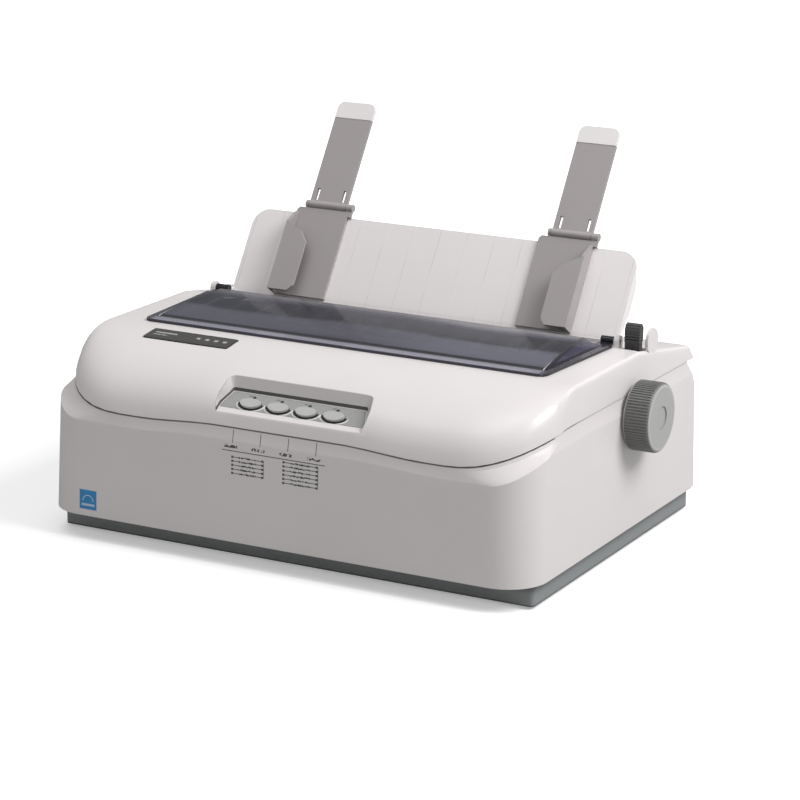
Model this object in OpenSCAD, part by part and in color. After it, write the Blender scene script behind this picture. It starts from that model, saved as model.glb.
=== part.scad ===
// Dot matrix printer with a smoked top lid, standing sheet support and platen knob.
// The printer is drawn with x across, y from the front back and z up from the table, and
// place() then moves it so that the origin is at the middle of its footprint.

/* [Body] */
// Width of the body across its lower edge
body_w = 370; // [350:1:400]
// Depth of the body from front to back
body_d = 287.5; // [280:0.5:310]
// Height of the body's lower edge above the base tray's underside
base_h = 15.5; // [12:0.5:20]
// Wall of the body and of the top cover
wall = 2.5; // [2:0.1:3.5]
// Inward lean of the body's walls for each millimetre of height
draft = 0.0272; // [0.01:0.001:0.04]
// Front corner radius at the lower edge
body_r = 29; // [20:1:36]
// Front corner radius of the top cover where it meets the body
cover_r = 50; // [40:1:60]
// Rear corner radius
rear_r = 18; // [10:1:25]
// Height of the seam along the sides
seam_z = 109.5; // [104:0.5:114]
// Height of the seam at the middle of the front
front_seam_z = 94; // [88:0.5:99]
// How far the seam dips on each side of the middle
seam_dip = 3.2; // [0:0.1:6]
// How far the shoulder steps in at the seam
shoulder_in = 1.2; // [0.5:0.1:3]
// Height at which the back wall starts to lean forward
chamfer_z = 93; // [80:1:100]
// Forward lean of the back's upper part for each millimetre of height
chamfer_lean = 0.75; // [0.4:0.05:1]
// Step of the base tray inside the body at the front
base_front_in = 20.4; // [15:0.1:26]
// Step of the base tray inside the body at the sides
base_side_in = 5.5; // [4:0.1:8]
// Step of the base tray inside the body at the back
base_rear_in = 11; // [8:0.5:16]
// How far the rubber feet stand below the base tray
foot_h = 2; // [1:0.5:4]
// Radius of a rubber foot
foot_r = 9; // [6:0.5:12]

/* [Top cover] */
// Height of the level top
top_z = 134.3; // [128:0.1:142]
// Distance from the front at which the crown is level
crown_y = 78; // [70:1:84]
// Distance from the front at which the rear deck starts to fall
deck_y = 178; // [174:1:184]
// Fall of the rear deck for each millimetre of depth
deck_fall = 0.165; // [0.1:0.005:0.2]
// Rounding of the cover's side edges
edge_r = 4; // [2:0.5:8]
// Front edge of the opening under the lid
mouth_y = 94; // [90:1:100]
// Rear edge of the opening, behind the sheet slot
mouth_rear_y = 199; // [196:1:204]
// Half the width of the opening
mouth_hw = 146; // [140:1:150]
// Gap left around pieces that sit in a window
fit_gap = 0.3; // [0.2:0.05:0.5]

/* [Smoked lid] */
// Front edge of the lid
lid_y = 83.5; // [80:0.5:88]
// Depth of the lid from its front edge to its rear edge
lid_d = 94.5; // [90:0.5:98]
// Half the width of the lid at the front
lid_front_hw = 154; // [150:0.5:156]
// Half the width of the lid at the rear
lid_rear_hw = 160; // [156:0.5:162]
// Thickness of the lid
lid_t = 1.8; // [1.2:0.1:2.4]
// Height of the lid's raised part above its flange
lid_rise = 5.5; // [3:0.5:9]
// Width of the flange along the front
lid_flange = 10.5; // [8:0.5:14]
// Distance of the hinge line behind the lid's rear edge
hinge_back = 10.5; // [8:0.5:12]
// Radius of the lid's hinge pins
hinge_pin_r = 1.5; // [1:0.1:2]

/* [Control panel] */
// Middle of the control panel, right of the printer's middle
panel_x = 6.5; // [0:0.5:20]
// Half the width of the panel's floor at its front edge
panel_hw = 54; // [46:0.5:60]
// How far each end of the floor slants in towards the back
panel_slant = 4; // [1:0.5:8]
// Distance of the floor's front edge from the front
panel_y = 8.5; // [7:0.5:12]
// Distance of the floor's rear edge from the front
panel_rear_y = 22; // [18:0.5:26]
// Height of the floor's rear edge
panel_rear_z = 113; // [111:0.5:115]
// Height of the floor's front edge
panel_z = 104.6; // [102:0.1:107]
// Distance between the buttons
button_pitch = 21; // [17:0.5:24]
// Width of a button
button_w = 15.5; // [10:0.5:17]
// Travel of a button
button_travel = 1; // [0.5:0.1:1.5]
// How far a button stands out of the panel
button_proud = 2; // [1.5:0.1:3]

/* [Sheet support] */
// Lean of the support from upright
support_tilt = 33; // [25:1:40]
// Distance of the support's pivot from the front
support_y = 201; // [198:0.5:206]
// Height of the support's pivot
support_z = 133; // [131:0.5:136]
// Length of the support above its pivot
support_len = 66; // [55:0.5:80]
// Half the width of the support
support_hw = 153.5; // [150:0.5:155]
// Thickness of the support
support_t = 2.5; // [2:0.1:4]
// Depth of the support's returned side edges
support_return = 9; // [6:0.5:12]
// Corner radius at the support's top
support_r = 13; // [6:0.5:20]
// Distance of each guide's middle from the printer's middle
guide_x = 97.5; // [80:0.5:110]
// Width of a guide
guide_w = 42; // [34:0.5:48]
// Depth of a guide's channel
guide_depth = 12; // [9:0.5:16]
// Width of a guide's front lip
guide_lip = 20; // [12:0.5:24]
// Length of a guide above the pivot
guide_len = 69.8; // [60:0.1:85]
// Wall of a guide
guide_t = 2.2; // [1.6:0.1:3]
// Width of an extension arm
arm_w = 30.5; // [26:0.5:34]
// Length of an arm from its pivot to its tip
arm_len = 82; // [60:1:100]
// Thickness of an arm
arm_t = 2.6; // [2:0.1:4]
// Length of the pale end piece
tip_len = 13; // [8:0.5:20]
// Sideways place of the arms from the guides' middles
arm_x = 3; // [0:0.5:4]

/* [Platen] */
// Distance of the platen's axis from the front
platen_y = 167; // [164:0.5:170]
// Height of the platen's axis
platen_z = 94; // [92:0.5:96]
// Radius of the rubber platen
platen_r = 12.5; // [11:0.5:13.5]
// Half the length of the rubber
platen_hl = 130; // [120:1:132]
// Radius of the platen shaft
shaft_r = 4; // [3:0.5:5]
// Radial clearance of every shaft in its bearing
run_gap = 0.05; // [0.02:0.01:0.1]
// Radius of the knob
knob_r = 24; // [20:0.5:28]
// Thickness of the knob's grip
knob_t = 19; // [14:0.5:24]
// Number of ribs round the knob
knob_ribs = 72; // [40:4:90]
// Gap between the knob and the side of the body
knob_gap = 1.2; // [0.6:0.1:2]
// Size of one gear tooth, pitch diameter over count
gear_module = 0.8; // [0.6:0.05:1]
// Teeth on the platen gear
platen_teeth = 48; // [40:4:56]
// Teeth on the idler gear
idler_teeth = 30; // [24:2:36]
// Teeth on the motor pinion
pinion_teeth = 12; // [10:1:16]
// Thickness of the gears
gear_t = 6; // [4:0.5:8]

/* [Carriage] */
// Distance of the guide rod's axis from the front
rod_y = 124; // [118:0.5:126]
// Height of the guide rod's axis
rod_z = 72; // [68:0.5:76]
// Radius of the guide rod
rod_r = 5; // [4:0.5:6]
// Width of the carriage
carriage_w = 40; // [34:1:48]
// Travel of the carriage to each side
carriage_travel = 98; // [80:1:104]
// Gap between the print head's nose and the platen
head_gap = 1; // [0.8:0.1:1.6]
// Thickness of the ink ribbon
ribbon_t = 0.2; // [0.1:0.05:0.3]
// Height of the ink ribbon
ribbon_h = 13; // [10:0.5:14]
// Pitch radius of the belt's pulleys
pulley_r = 6; // [5:0.5:8]
// Distance of each pulley's axis inside the side frames
pulley_in = 12; // [12:0.5:16]
// Width of the belt
belt_h = 6; // [4:0.5:7]
// Thickness of the belt
belt_t = 1; // [0.8:0.1:1.4]

/* [Frame] */
// Distance from the rubber's ends to the side frames' inner faces
frame_gap = 11; // [9:0.5:14]
// Thickness of the side frames
frame_t = 2; // [1.5:0.1:3]
// Height of the chassis pan above the base tray's underside
pan_z = 18; // [16:0.5:22]
// Front edge of the side frames
frame_y = 96; // [94:1:100]
// Rear edge of the side frames
frame_rear_y = 258; // [250:1:262]
// Radius of a case screw's shank
screw_r = 1.5; // [1:0.1:2]

/* [Hidden] */

$fn = 48;
top_gap = 0.2;
seam_gap = 0.2;
// The side frames stand clear of the rubber's ends, and the pulleys inside the frames.
frame_hw = platen_hl + frame_gap;
pulley_x = frame_hw - pulley_in;

// The origin is at the middle of the whole printer's footprint, knob included.
knob_x = body_w / 2 - draft * (platen_z - base_h) + knob_gap;
overall_right = knob_x + knob_t;
origin_x = (overall_right - body_w / 2) / 2;
origin_y = body_d / 2;
module place() {
  translate([-origin_x, -origin_y, foot_h]) children();
}

function smooth(t) = let(c = max(0, min(1, t))) c * c * (3 - 2 * c);
function lerp(a, b, t) = a + (b - a) * t;

// Faces of a skin over a grid of points: rows of equal length, each row a closed loop,
// with the first and last rows capped, or joined to each other when ring is true.
function cap_faces(n) = concat(
  [for (j = [0 : floor(n / 2) - 1]) if (n - 1 - j > j + 1) [j, j + 1, n - 1 - j]],
  [for (j = [0 : floor(n / 2) - 1]) if (n - 2 - j > j + 1) [j + 1, n - 2 - j, n - 1 - j]]);
function skin_faces(rows, cols, ring = false) = let(
    wall_faces = [for (i = [0 : rows - (ring ? 1 : 2)], j = [0 : cols - 1])
      let(a = i * cols, b = ((i + 1) % rows) * cols, k = (j + 1) % cols)
      each [[a + j, a + k, b + j], [a + k, b + k, b + j]]],
    end = (rows - 1) * cols)
  ring ? wall_faces : concat(wall_faces,
    [for (f = cap_faces(cols)) [f[2], f[1], f[0]]],
    [for (f = cap_faces(cols)) [end + f[0], end + f[1], end + f[2]]]);
module skin(rows, ring = false) {
  polyhedron([for (r = rows) each r], skin_faces(len(rows), len(rows[0]), ring), convexity = 8);
}

// Seam between body and cover: a shallow wave along the front that climbs round the corners.
seam_low = front_seam_z - seam_dip;
seam_wave_x = 108;
seam_wave_w = 62;
seam_climb_x = 122;
seam_climb_l = 130;
function seam_at(x, y) = let(
    ax = abs(x),
    wave = ax < seam_wave_x ? 1 - smooth((seam_wave_x - ax) / seam_wave_w) : 1,
    climb = smooth((max(0, ax - seam_climb_x) + max(0, y)) / seam_climb_l))
  lerp(front_seam_z - seam_dip * wave, seam_z, ax < seam_climb_x && y < body_d / 2 ? 0 : climb);

// Stations round the plan outline, anticlockwise from the left end of the front edge.
front_steps = 22;
corner_steps = 9;
side_steps = 5;
stations = concat(
  [for (i = [0 : front_steps - 1]) [0, i / front_steps]],
  [for (i = [0 : corner_steps - 1]) [1, i / corner_steps]],
  [for (i = [0 : side_steps - 1]) [2, i / side_steps]],
  [for (i = [0 : 3]) [3, i / 4]],
  [for (i = [0 : 1]) [4, i / 2]],
  [for (i = [0 : 3]) [5, i / 4]],
  [for (i = [0 : side_steps - 1]) [6, i / side_steps]],
  [for (i = [0 : corner_steps - 1]) [7, i / corner_steps]]);
// One point of a rounded outline: half width hw, front y0, rear y1, corner radii rf and rb.
function outline_at(s, hw, y0, y1, rf, rb) = let(q = s[1], k = s[0])
  k == 0 ? [lerp(-(hw - rf), hw - rf, q), y0]
  : k == 1 ? [hw - rf + rf * sin(90 * q), y0 + rf - rf * cos(90 * q)]
  : k == 2 ? [hw, lerp(y0 + rf, y1 - rb, q)]
  : k == 3 ? [hw - rb + rb * cos(90 * q), y1 - rb + rb * sin(90 * q)]
  : k == 4 ? [lerp(hw - rb, -(hw - rb), q), y1]
  : k == 5 ? [-(hw - rb) - rb * sin(90 * q), y1 - rb + rb * cos(90 * q)]
  : k == 6 ? [-hw, lerp(y1 - rb, y0 + rf, q)]
  : [-(hw - rf) - rf * cos(90 * q), y0 + rf - rf * sin(90 * q)];
function rear_at(z) = body_d - chamfer_lean * max(0, z - chamfer_z);

// The body's wall at a station: f runs from 0 at the lower edge to 1 at the seam.
shoulder_f = 0.88;
function shoulder_at(f) = sin(90 * max(0, (f - shoulder_f) / (1 - shoulder_f)));
function wall_point(s, f, inset) = let(
    g = shoulder_at(f),
    rf = lerp(body_r, cover_r, g),
    top = outline_at(s, body_w / 2 - draft * (seam_z - base_h), 0, rear_at(seam_z), cover_r, rear_r),
    z = lerp(base_h, seam_at(top[0], top[1]) - seam_gap, f),
    lean = draft * (z - base_h) + shoulder_in * g + inset,
    p = outline_at(s, body_w / 2 - lean, lean, rear_at(z) - inset, rf - inset, rear_r - inset))
  [p[0], p[1], z];
flange_w = 12;
flange_front = base_front_in + flange_w;
flange_side = base_side_in + flange_w;
flange_rear = base_rear_in + flange_w;
outer_levels = [0, 0.4, 0.8, 0.88, 0.895, 0.915, 0.94, 0.97, 1];
inner_levels = [1, 0.94, 0.88, 0.5];
function body_section(s) = let(
    lip = outline_at(s, body_w / 2 - flange_side, flange_front, body_d - flange_rear, 6, 6),
    foot = wall_point(s, 0, wall))
  concat(
    [for (f = outer_levels) wall_point(s, f, 0)],
    [for (f = inner_levels) wall_point(s, f, wall)],
    [[foot[0], foot[1], base_h + wall], [lip[0], lip[1], base_h + wall], [lip[0], lip[1], base_h]]);
module body_skin() {
  skin([for (s = stations) body_section(s)], ring = true);
}
// The top cover is a row of cross-sections from side to side. Each runs from the front seam
// up a quarter ellipse to the level top, down the rear deck and the chamfer to the rear seam.
cover_hw = body_w / 2 - draft * (seam_z - base_h) - shoulder_in;
cover_front = draft * (front_seam_z - base_h) + shoulder_in;
deck_end_z = 119;
function deck_z(y) = top_z - deck_fall * max(0, y - deck_y);
deck_end_y = rear_at(deck_end_z);
function sweep_back(x) = let(c = cover_hw - cover_r, dx = max(0, min(cover_r, abs(x) - c)))
  cover_r - sqrt(cover_r * cover_r - dx * dx);
function edge_drop(x) = let(d = max(0, abs(x) - (cover_hw - edge_r)))
  edge_r - sqrt(max(0, edge_r * edge_r - d * d));
crown_steps = 9;
function cover_profile(x, t) = let(
    ys = cover_front + sweep_back(x) + t,
    zs = seam_at(x, ys),
    ye = crown_y + t,
    drop = edge_drop(x) + t)
  concat(
    [for (i = [0 : crown_steps]) let(a = 90 * i / crown_steps)
      [x, lerp(ys, ye, 1 - cos(a)), i == 0 ? zs : lerp(zs, top_z - drop, sin(a))]],
    [[x, deck_y, top_z - drop], [x, deck_end_y - t, deck_z(deck_end_y) - drop],
     [x, rear_at(seam_z) - shoulder_in - t, seam_z]]);
function seam_line(x, t) = [for (p = cover_profile(x, t)) [p[0], p[1], min(p[2] - 0.5, seam_at(p[0], p[1]))]];
cover_steps = 17;
cover_xs = [for (i = [-cover_steps : cover_steps]) cover_hw * sin(90 * i / cover_steps)];
function reversed(v) = [for (i = [len(v) - 1 : -1 : 0]) v[i]];
module cover_skin() {
  inner_x = cover_hw - wall;
  xs = concat([for (x = cover_xs) if (x < -inner_x - 0.3) x], [-inner_x],
    [for (x = cover_xs) if (abs(x) < inner_x - 1) x], [inner_x],
    [for (x = cover_xs) if (x > inner_x + 0.3) x]);
  skin([for (x = xs) let(out = cover_profile(x, 0))
    concat(out, reversed(abs(x) > inner_x + 0.1 ? seam_line(x, wall) : cover_profile(x, wall)))]);
}
// Control panel: a flat plate in the floor of a recess, whose bevelled sides and back are the
// cover's own. The recess is open towards the front.
panel_slope = atan((panel_rear_z - panel_z) / (panel_rear_y - panel_y));
panel_len = norm([panel_rear_z - panel_z, panel_rear_y - panel_y]);
panel_t = 2;
panel_side_flare = 0.55;
panel_back_flare = 1.36;
panel_corner_r = 1.5;
panel_corner_flare = 0.4;
panel_recess_h = 20;
panel_straight = 4;
panel_ledge = 0.3;
panel_rim = 0.6;
module on_panel() {
  translate([panel_x, panel_y, panel_z]) rotate([panel_slope, 0, 0]) children();
}
// Right-hand half of the recess's outline at height z over the floor, from its front, y0.
function panel_side(grow, z, y0) = let(
    up = max(0, z),
    hw = panel_hw + grow + panel_side_flare * up,
    b = panel_len + grow + panel_back_flare * up,
    r = panel_corner_r + panel_corner_flare * up,
    cx = hw - panel_slant * (1 - r / (b - panel_straight)) - r)
  concat([[hw, y0], [hw, panel_straight]], [for (a = [0 : 22.5 : 90]) [cx + r * cos(a), b - r + r * sin(a)]]);
function panel_outline(grow, z, y0) = let(half = panel_side(grow, z, y0))
  concat(half, [for (p = reversed(half)) [-p[0], p[1]]]);
function panel_loop(grow, z) = [for (p = panel_outline(grow, z, -14)) [p[0], p[1], z]];
module panel_recess(grow, z0) {
  on_panel() skin(concat([panel_loop(grow, panel_recess_h), panel_loop(grow, 0)],
    z0 < 0 ? [panel_loop(grow, z0)] : []));
}
module crown_block(t) {
  skin([for (x = [panel_x - panel_hw - 20 : 14.7 : panel_x + panel_hw + 30])
    let(p = cover_profile(x, t)) concat([for (i = [0 : crown_steps]) p[i]], [[x, crown_y + 10, seam_low]])]);
}
button_shift = -1;
button_d = 8;
button_web = 0.7;
button_y = panel_rim + button_web + button_d + 2 * fit_gap;
button_xs = [for (i = [0 : 3]) button_shift + (i - 1.5) * button_pitch];
lamp_r = 1.2;
lamp_y = 12.2;
flange_t = 1.2;
stem_r = 2;
button_stem = 6;
board_t = 1.6;
board_drop = panel_t + fit_gap + flange_t + button_stem + button_travel + 1.5;
post_x = 46;
panel_window_hw = 48.5;
// Outline of a button: an oval that is fuller towards the front.
button_back = 0.4;
module button_outline(grow) {
  translate([0, -button_back * button_d]) polygon([for (a = [0 : 15 : 345])
    [(button_w / 2 + grow) * cos(a), (button_d * (sin(a) > 0 ? button_back : 1 - button_back) + grow) * sin(a)]]);
}
module control_panel() {
  color("darkgray") on_panel() difference() {
    union() {
      translate([0, 0, -panel_t]) linear_extrude(panel_t)
        polygon(panel_outline(-panel_ledge - fit_gap, 0, panel_rim + fit_gap));
      for (x = [-post_x, post_x]) translate([x, 8, -board_drop]) cylinder(r = stem_r, h = board_drop - 0.5);
    }
    for (x = button_xs) translate([x, button_y, -panel_t - 1]) linear_extrude(panel_t + 2) button_outline(fit_gap);
    for (x = button_xs) translate([x, lamp_y, -panel_t - 1]) cylinder(r = lamp_r, h = panel_t + 2);
  }
}
module button(i) {
  color("lightgray") on_panel() translate([button_xs[i], button_y, 0]) {
    translate([0, 0, -panel_t - 0.1]) linear_extrude(panel_t + 0.1 + button_proud) button_outline(0);
    translate([0, 0, -panel_t - fit_gap]) linear_extrude(fit_gap + 0.1) button_outline(0);
    block([-button_w / 2 - 1, 1 - button_d, -panel_t - fit_gap - flange_t], [button_w / 2 + 1, 1, -panel_t - fit_gap]);
    translate([0, -button_d / 2, -panel_t - fit_gap - flange_t - button_stem])
      cylinder(r = stem_r, h = button_stem + 0.5);
  }
}
module panel_board() {
  color("seagreen") on_panel() {
    translate([-50, 0, -board_drop - board_t]) cube([100, 14, board_t]);
    for (x = button_xs) translate([x - 3, button_y - button_d / 2 - 3, -board_drop - 0.1]) cube([6, 6, 1.6]);
  }
}
module indicator_lamps() {
  color("limegreen") on_panel() for (x = button_xs) translate([x, lamp_y, -panel_t]) cylinder(r = lamp_r, h = panel_t + 0.3);
}

// Bare name plate sunk in the crown, and the slope of the crown there.
plate_x = -101.5;
plate_y = 60.5;
plate_w = 67;
plate_d = 17;
plate_t = 1.2;
plate_sunk = 0.8;
plate_a = acos(1 - (plate_y - cover_front) / (crown_y - cover_front));
plate_z = lerp(front_seam_z - seam_dip, top_z, sin(plate_a));
plate_slope = atan((top_z - front_seam_z) * cos(plate_a) / ((crown_y - cover_front) * sin(plate_a)));
module on_crown() {
  translate([plate_x, plate_y, plate_z]) rotate([plate_slope, 0, 0]) children();
}
module rounded_slab(w, d, t, r) {
  linear_extrude(t) polygon([for (c = [[1, 1, 0], [-1, 1, 90], [-1, -1, 180], [1, -1, 270]], a = [0 : 30 : 90])
    [c[0] * (w / 2 - r) + r * cos(c[2] + a), c[1] * (d / 2 - r) + r * sin(c[2] + a)]]);
}
module name_plate() {
  color("dimgray") on_crown() translate([0, 0, -plate_sunk]) rounded_slab(plate_w, plate_d, plate_t, 1.5);
}

// A rod or disc along x from x0 to x1, and a block between two corners.
module rod_x(x0, x1, y, z, r) {
  translate([min(x0, x1), y, z]) rotate([0, 90, 0]) cylinder(r = r, h = abs(x1 - x0));
}
module block(lo, hi) {
  translate([min(lo[0], hi[0]), min(lo[1], hi[1]), min(lo[2], hi[2])])
    cube([abs(hi[0] - lo[0]), abs(hi[1] - lo[1]), abs(hi[2] - lo[2])]);
}
// An outline in depth and height, drawn out along x from x to x + t.
module slice_x(x, t) {
  translate([x, 0, 0]) rotate([90, 0, 90]) linear_extrude(t) children();
}

// Hinges on the cover: the lid's, the sheet support's and the release lever's slot.
hinge_y = lid_y + lid_d + hinge_back;
hinge_z = top_z + 2.7;
barrel_r = 2.8;
tab_in = 148;
tab_out = 158;
ear_t = 3.5;
ear_r = 4.2;
hinge_ear_x = tab_out + fit_gap;
support_ear_x = support_hw + fit_gap;
support_pin_r = 1.5;
lever_x = 171.5;
lever_w = 11;
lever_y = 188;
lever_z = 104;
lever_top = 151;
lever_slot_front = 5;
lever_slot_rear = 19;
guard_x = lever_x + lever_w / 2 + 1.2;
guard_y = 201;
guard_t = 2.2;
module cover_ear(s, x, y, z, bore) {
  difference() {
    union() {
      rod_x(s * x, s * (x + ear_t), y, z, ear_r);
      block([s * x, y - ear_r, deck_z(y + ear_r) - 1.5], [s * (x + ear_t), y + ear_r, z]);
    }
    rod_x(s * (x - 1), s * (x + ear_t + 1), y, z, bore);
  }
}
module top_cover() {
  color("whitesmoke") union() {
    difference() {
      union() {
        cover_skin();
        intersection() {
          crown_block(wall / 2);
          panel_recess(wall, -panel_t - wall);
        }
      }
      panel_recess(0, 0);
      on_panel() translate([0, 0, -panel_t]) linear_extrude(panel_t + 0.5)
        polygon(panel_outline(-panel_ledge, 0, panel_rim));
      on_panel() block([-panel_window_hw, panel_rim, -panel_t - wall - 8],
                       [panel_window_hw, panel_len - 2.5, -panel_t + 1]);
      block([-mouth_hw, mouth_y, top_z - 20], [mouth_hw, mouth_rear_y, top_z + 5]);
      on_crown() translate([0, 0, -plate_sunk]) rounded_slab(plate_w + 2 * fit_gap, plate_d + 2 * fit_gap, 4, 1.5);
      block([lever_x - lever_w / 2 - 1, lever_y - lever_slot_front, top_z - 9],
            [lever_x + lever_w / 2 + 0.6, lever_y + lever_slot_rear, top_z + 5]);
    }
    for (s = [-1, 1]) {
      cover_ear(s, hinge_ear_x, hinge_y, hinge_z, hinge_pin_r + run_gap);
      cover_ear(s, support_ear_x, support_y, support_z, support_pin_r + run_gap);
    }
    intersection() {
      rod_x(guard_x, guard_x + guard_t, guard_y, deck_z(guard_y) + 6.5, 9);
      block([guard_x - 1, guard_y - 12, deck_z(guard_y + 12) - 1.5], [guard_x + guard_t + 1, guard_y + 12, top_z + 30]);
    }
  }
}

// The smoked lid is a thin shell over a grid: a flat flange with a hipped top that rises
// towards the back, between hips that lean in from the flange.
foot_y = lid_y + lid_flange;
ridge_y = lid_y + lid_d - 10;
hip_lean = 11;
lid_corner = 5;
lid_edge = 5;
lid_z = top_z + top_gap;
function lid_hw(y) = let(d = max(0, lid_corner - (y - lid_y)))
  lerp(lid_front_hw, lid_rear_hw, (y - lid_y) / lid_d) - (lid_corner - sqrt(lid_corner * lid_corner - d * d));
function lid_foot_hw(y) = lid_hw(y) - lid_edge;
function lid_rise_part(y) = max(0, min(1, (y - foot_y) / (ridge_y - foot_y)));
function lid_hip(y) = lid_foot_hw(y) - max(0.8, hip_lean * lid_rise_part(y));
function lid_height(x, y) = let(
    fall = max(0, min(1, (lid_y + lid_d - 3 - y) / 7)),
    side = max(0, min(1, (lid_foot_hw(y) - abs(x)) / (lid_foot_hw(y) - lid_hip(y)))))
  lid_rise * pow(sin(90 * lid_rise_part(y)), 0.7) * min(side, fall);
lid_rows = [0, 1.5, 5, lid_flange, lid_flange + 1.5, lid_flange + 4, lid_flange + 9, 30, 42, 56, 70,
  lid_d - 10, lid_d - 3, lid_d];
function lid_half(y) = [lid_hw(y), lid_foot_hw(y), lerp(lid_foot_hw(y), lid_hip(y), 0.5), lid_hip(y),
  lid_hip(y) * 0.6, lid_hip(y) * 0.2];
function lid_xs(y) = let(h = lid_half(y)) concat([for (x = h) -x], reversed(h));
module smoked_lid() {
  color("slategray", 0.7) union() {
    skin([for (r = lid_rows) let(y = lid_y + r, xs = lid_xs(y)) concat(
      reversed([for (x = xs) [x, y, lid_z + lid_t + lid_height(x, y)]]),
      [for (x = xs) [x, y, lid_z + lid_height(x, y)]])]);
    for (s = [-1, 1]) {
      block([s * tab_in, lid_y + lid_d - 2, lid_z + 0.1], [s * tab_out, hinge_y, lid_z + lid_t - 0.1]);
      rod_x(s * tab_in, s * tab_out, hinge_y, hinge_z, barrel_r);
      rod_x(s * (tab_out - 1), s * (hinge_ear_x + ear_t - fit_gap), hinge_y, hinge_z, hinge_pin_r);
    }
  }
}

// Base tray: a straight-sided tray under the body, with posts for the frame and the boards.
base_hw = body_w / 2 - base_side_in;
base_y0 = base_front_in;
base_y1 = body_d - base_rear_in;
base_mid = (base_y0 + base_y1) / 2;
tray_floor = 2.5;
post_r = 5;
pan_rear_y = 198;
frame_posts = [for (x = [-1, 1], y = [frame_y + 10, pan_rear_y - 8]) [x * (frame_hw - 11), y]];
main_posts = [for (x = [-60, 60], y = [50, 176]) [x, y]];
power_y = base_y1 - 14.5;
power_posts = [for (x = [-130, -50], y = [power_y - 48, power_y]) [x, y]];
board_z = 7;
boss_r = 4;
head_recess = 2;
screw_head_r = 3;
body_boss_h = 12;
screw_places = [for (x = [-1, 1], y = [base_y0 + 13.6, base_y1 - 14.5]) [x * (base_hw - 6), y]];
module base_tray() {
  color("dimgray") difference() {
    union() {
      difference() {
        translate([0, base_mid, 0]) rounded_slab(2 * base_hw, base_y1 - base_y0, base_h, 3);
        translate([0, base_mid, tray_floor]) rounded_slab(2 * (base_hw - wall), base_y1 - base_y0 - 2 * wall, base_h, 2);
      }
      for (p = frame_posts) translate([p[0], p[1], tray_floor - 1]) cylinder(r = post_r, h = pan_z - tray_floor + 1);
      for (p = concat(main_posts, power_posts))
        translate([p[0], p[1], tray_floor - 1]) cylinder(r = 3.5, h = board_z - tray_floor + 1);
      for (p = screw_places) translate([p[0], p[1], 1]) cylinder(r = boss_r, h = base_h - 1);
    }
    for (p = screw_places) translate([p[0], p[1], -1]) cylinder(r = screw_r + 0.1, h = base_h + 2);
    for (p = screw_places) translate([p[0], p[1], -1]) cylinder(r = screw_head_r + 0.2, h = 1 + head_recess);
    for (p = frame_posts) translate([p[0], p[1], tray_floor]) cylinder(r = screw_r, h = pan_z);
    for (x = [-36 : 8 : 36]) block([x - 1.5, 30, -1], [x + 1.5, 44, tray_floor + 1]);
  }
}
foot_places = [for (x = [-1, 1], y = [base_y0 + 18, base_y1 - 18]) [x * (base_hw - 24), y]];
module rubber_feet() {
  color("black") for (p = foot_places) translate([p[0], p[1], -foot_h]) cylinder(r = foot_r, h = foot_h);
}
// Sockets in the rear wall: power inlet, power switch and interface port.
rear_wall_in = body_d - wall;
socket_z = 46;
inlet_x = -118;
inlet_w = 27.4;
inlet_h = 19.8;
switch_x = -84;
switch_w = 20;
switch_h = 27;
port_x = 92;
port_w = 66;
port_h = 17;
socket_flange = 3;
socket_fit = 0.2;
module rear_hole(x, w, h) {
  block([x - w / 2 - socket_fit, rear_wall_in - 5, socket_z - h / 2 - socket_fit],
        [x + w / 2 + socket_fit, body_d + 5, socket_z + h / 2 + socket_fit]);
}
// A socket body that fills its hole in the rear wall, with a flange behind the wall.
module socket_body(x, w, h, depth) {
  block([x - w / 2, rear_wall_in - depth, socket_z - h / 2], [x + w / 2, body_d - 0.2, socket_z + h / 2]);
  block([x - w / 2 - socket_flange, rear_wall_in - 2, socket_z - h / 2 - socket_flange],
        [x + w / 2 + socket_flange, rear_wall_in, socket_z + h / 2 + socket_flange]);
}
module power_inlet() {
  color("dimgray") {
    difference() {
      socket_body(inlet_x, inlet_w, inlet_h, 20);
      block([inlet_x - 11, rear_wall_in - 15, socket_z - 7], [inlet_x + 11, body_d + 1, socket_z + 7]);
    }
    for (p = [[-7, -2], [0, 2], [7, -2]])
      block([inlet_x + p[0] - 1, rear_wall_in - 16, socket_z + p[1] - 2], [inlet_x + p[0] + 1, body_d - 3, socket_z + p[1] + 2]);
  }
}
module interface_port() {
  color("silver") {
    difference() {
      socket_body(port_x, port_w, port_h, 12);
      block([port_x - 28, rear_wall_in - 8, socket_z - 5.5], [port_x + 28, body_d + 1, socket_z + 5.5]);
    }
    block([port_x - 25, rear_wall_in - 9, socket_z - 2], [port_x + 25, body_d - 2, socket_z + 2]);
  }
}
rocker_swing = 12;
rocker_pivot_y = rear_wall_in - 7;
rocker_pin_r = 1.5;
module switch_housing() {
  color("dimgray") difference() {
    socket_body(switch_x, switch_w, switch_h, 18);
    block([switch_x - 7.5, rear_wall_in - 16, socket_z - 11.5], [switch_x + 7.5, body_d + 1, socket_z + 11.5]);
    rod_x(switch_x - 9, switch_x + 9, rocker_pivot_y, socket_z, rocker_pin_r + run_gap);
  }
}
module power_switch() {
  color("black") {
    slice_x(switch_x - 7, 14) translate([rocker_pivot_y, socket_z]) rotate(-rocker_swing / 2)
      polygon([[-3, -5], [5.4, -9], [5.4 + 9 * tan(rocker_swing / 2), 0], [5.4, 9], [-3, 5]]);
    rod_x(switch_x - 8.5, switch_x + 8.5, rocker_pivot_y, socket_z, rocker_pin_r);
  }
}

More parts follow.
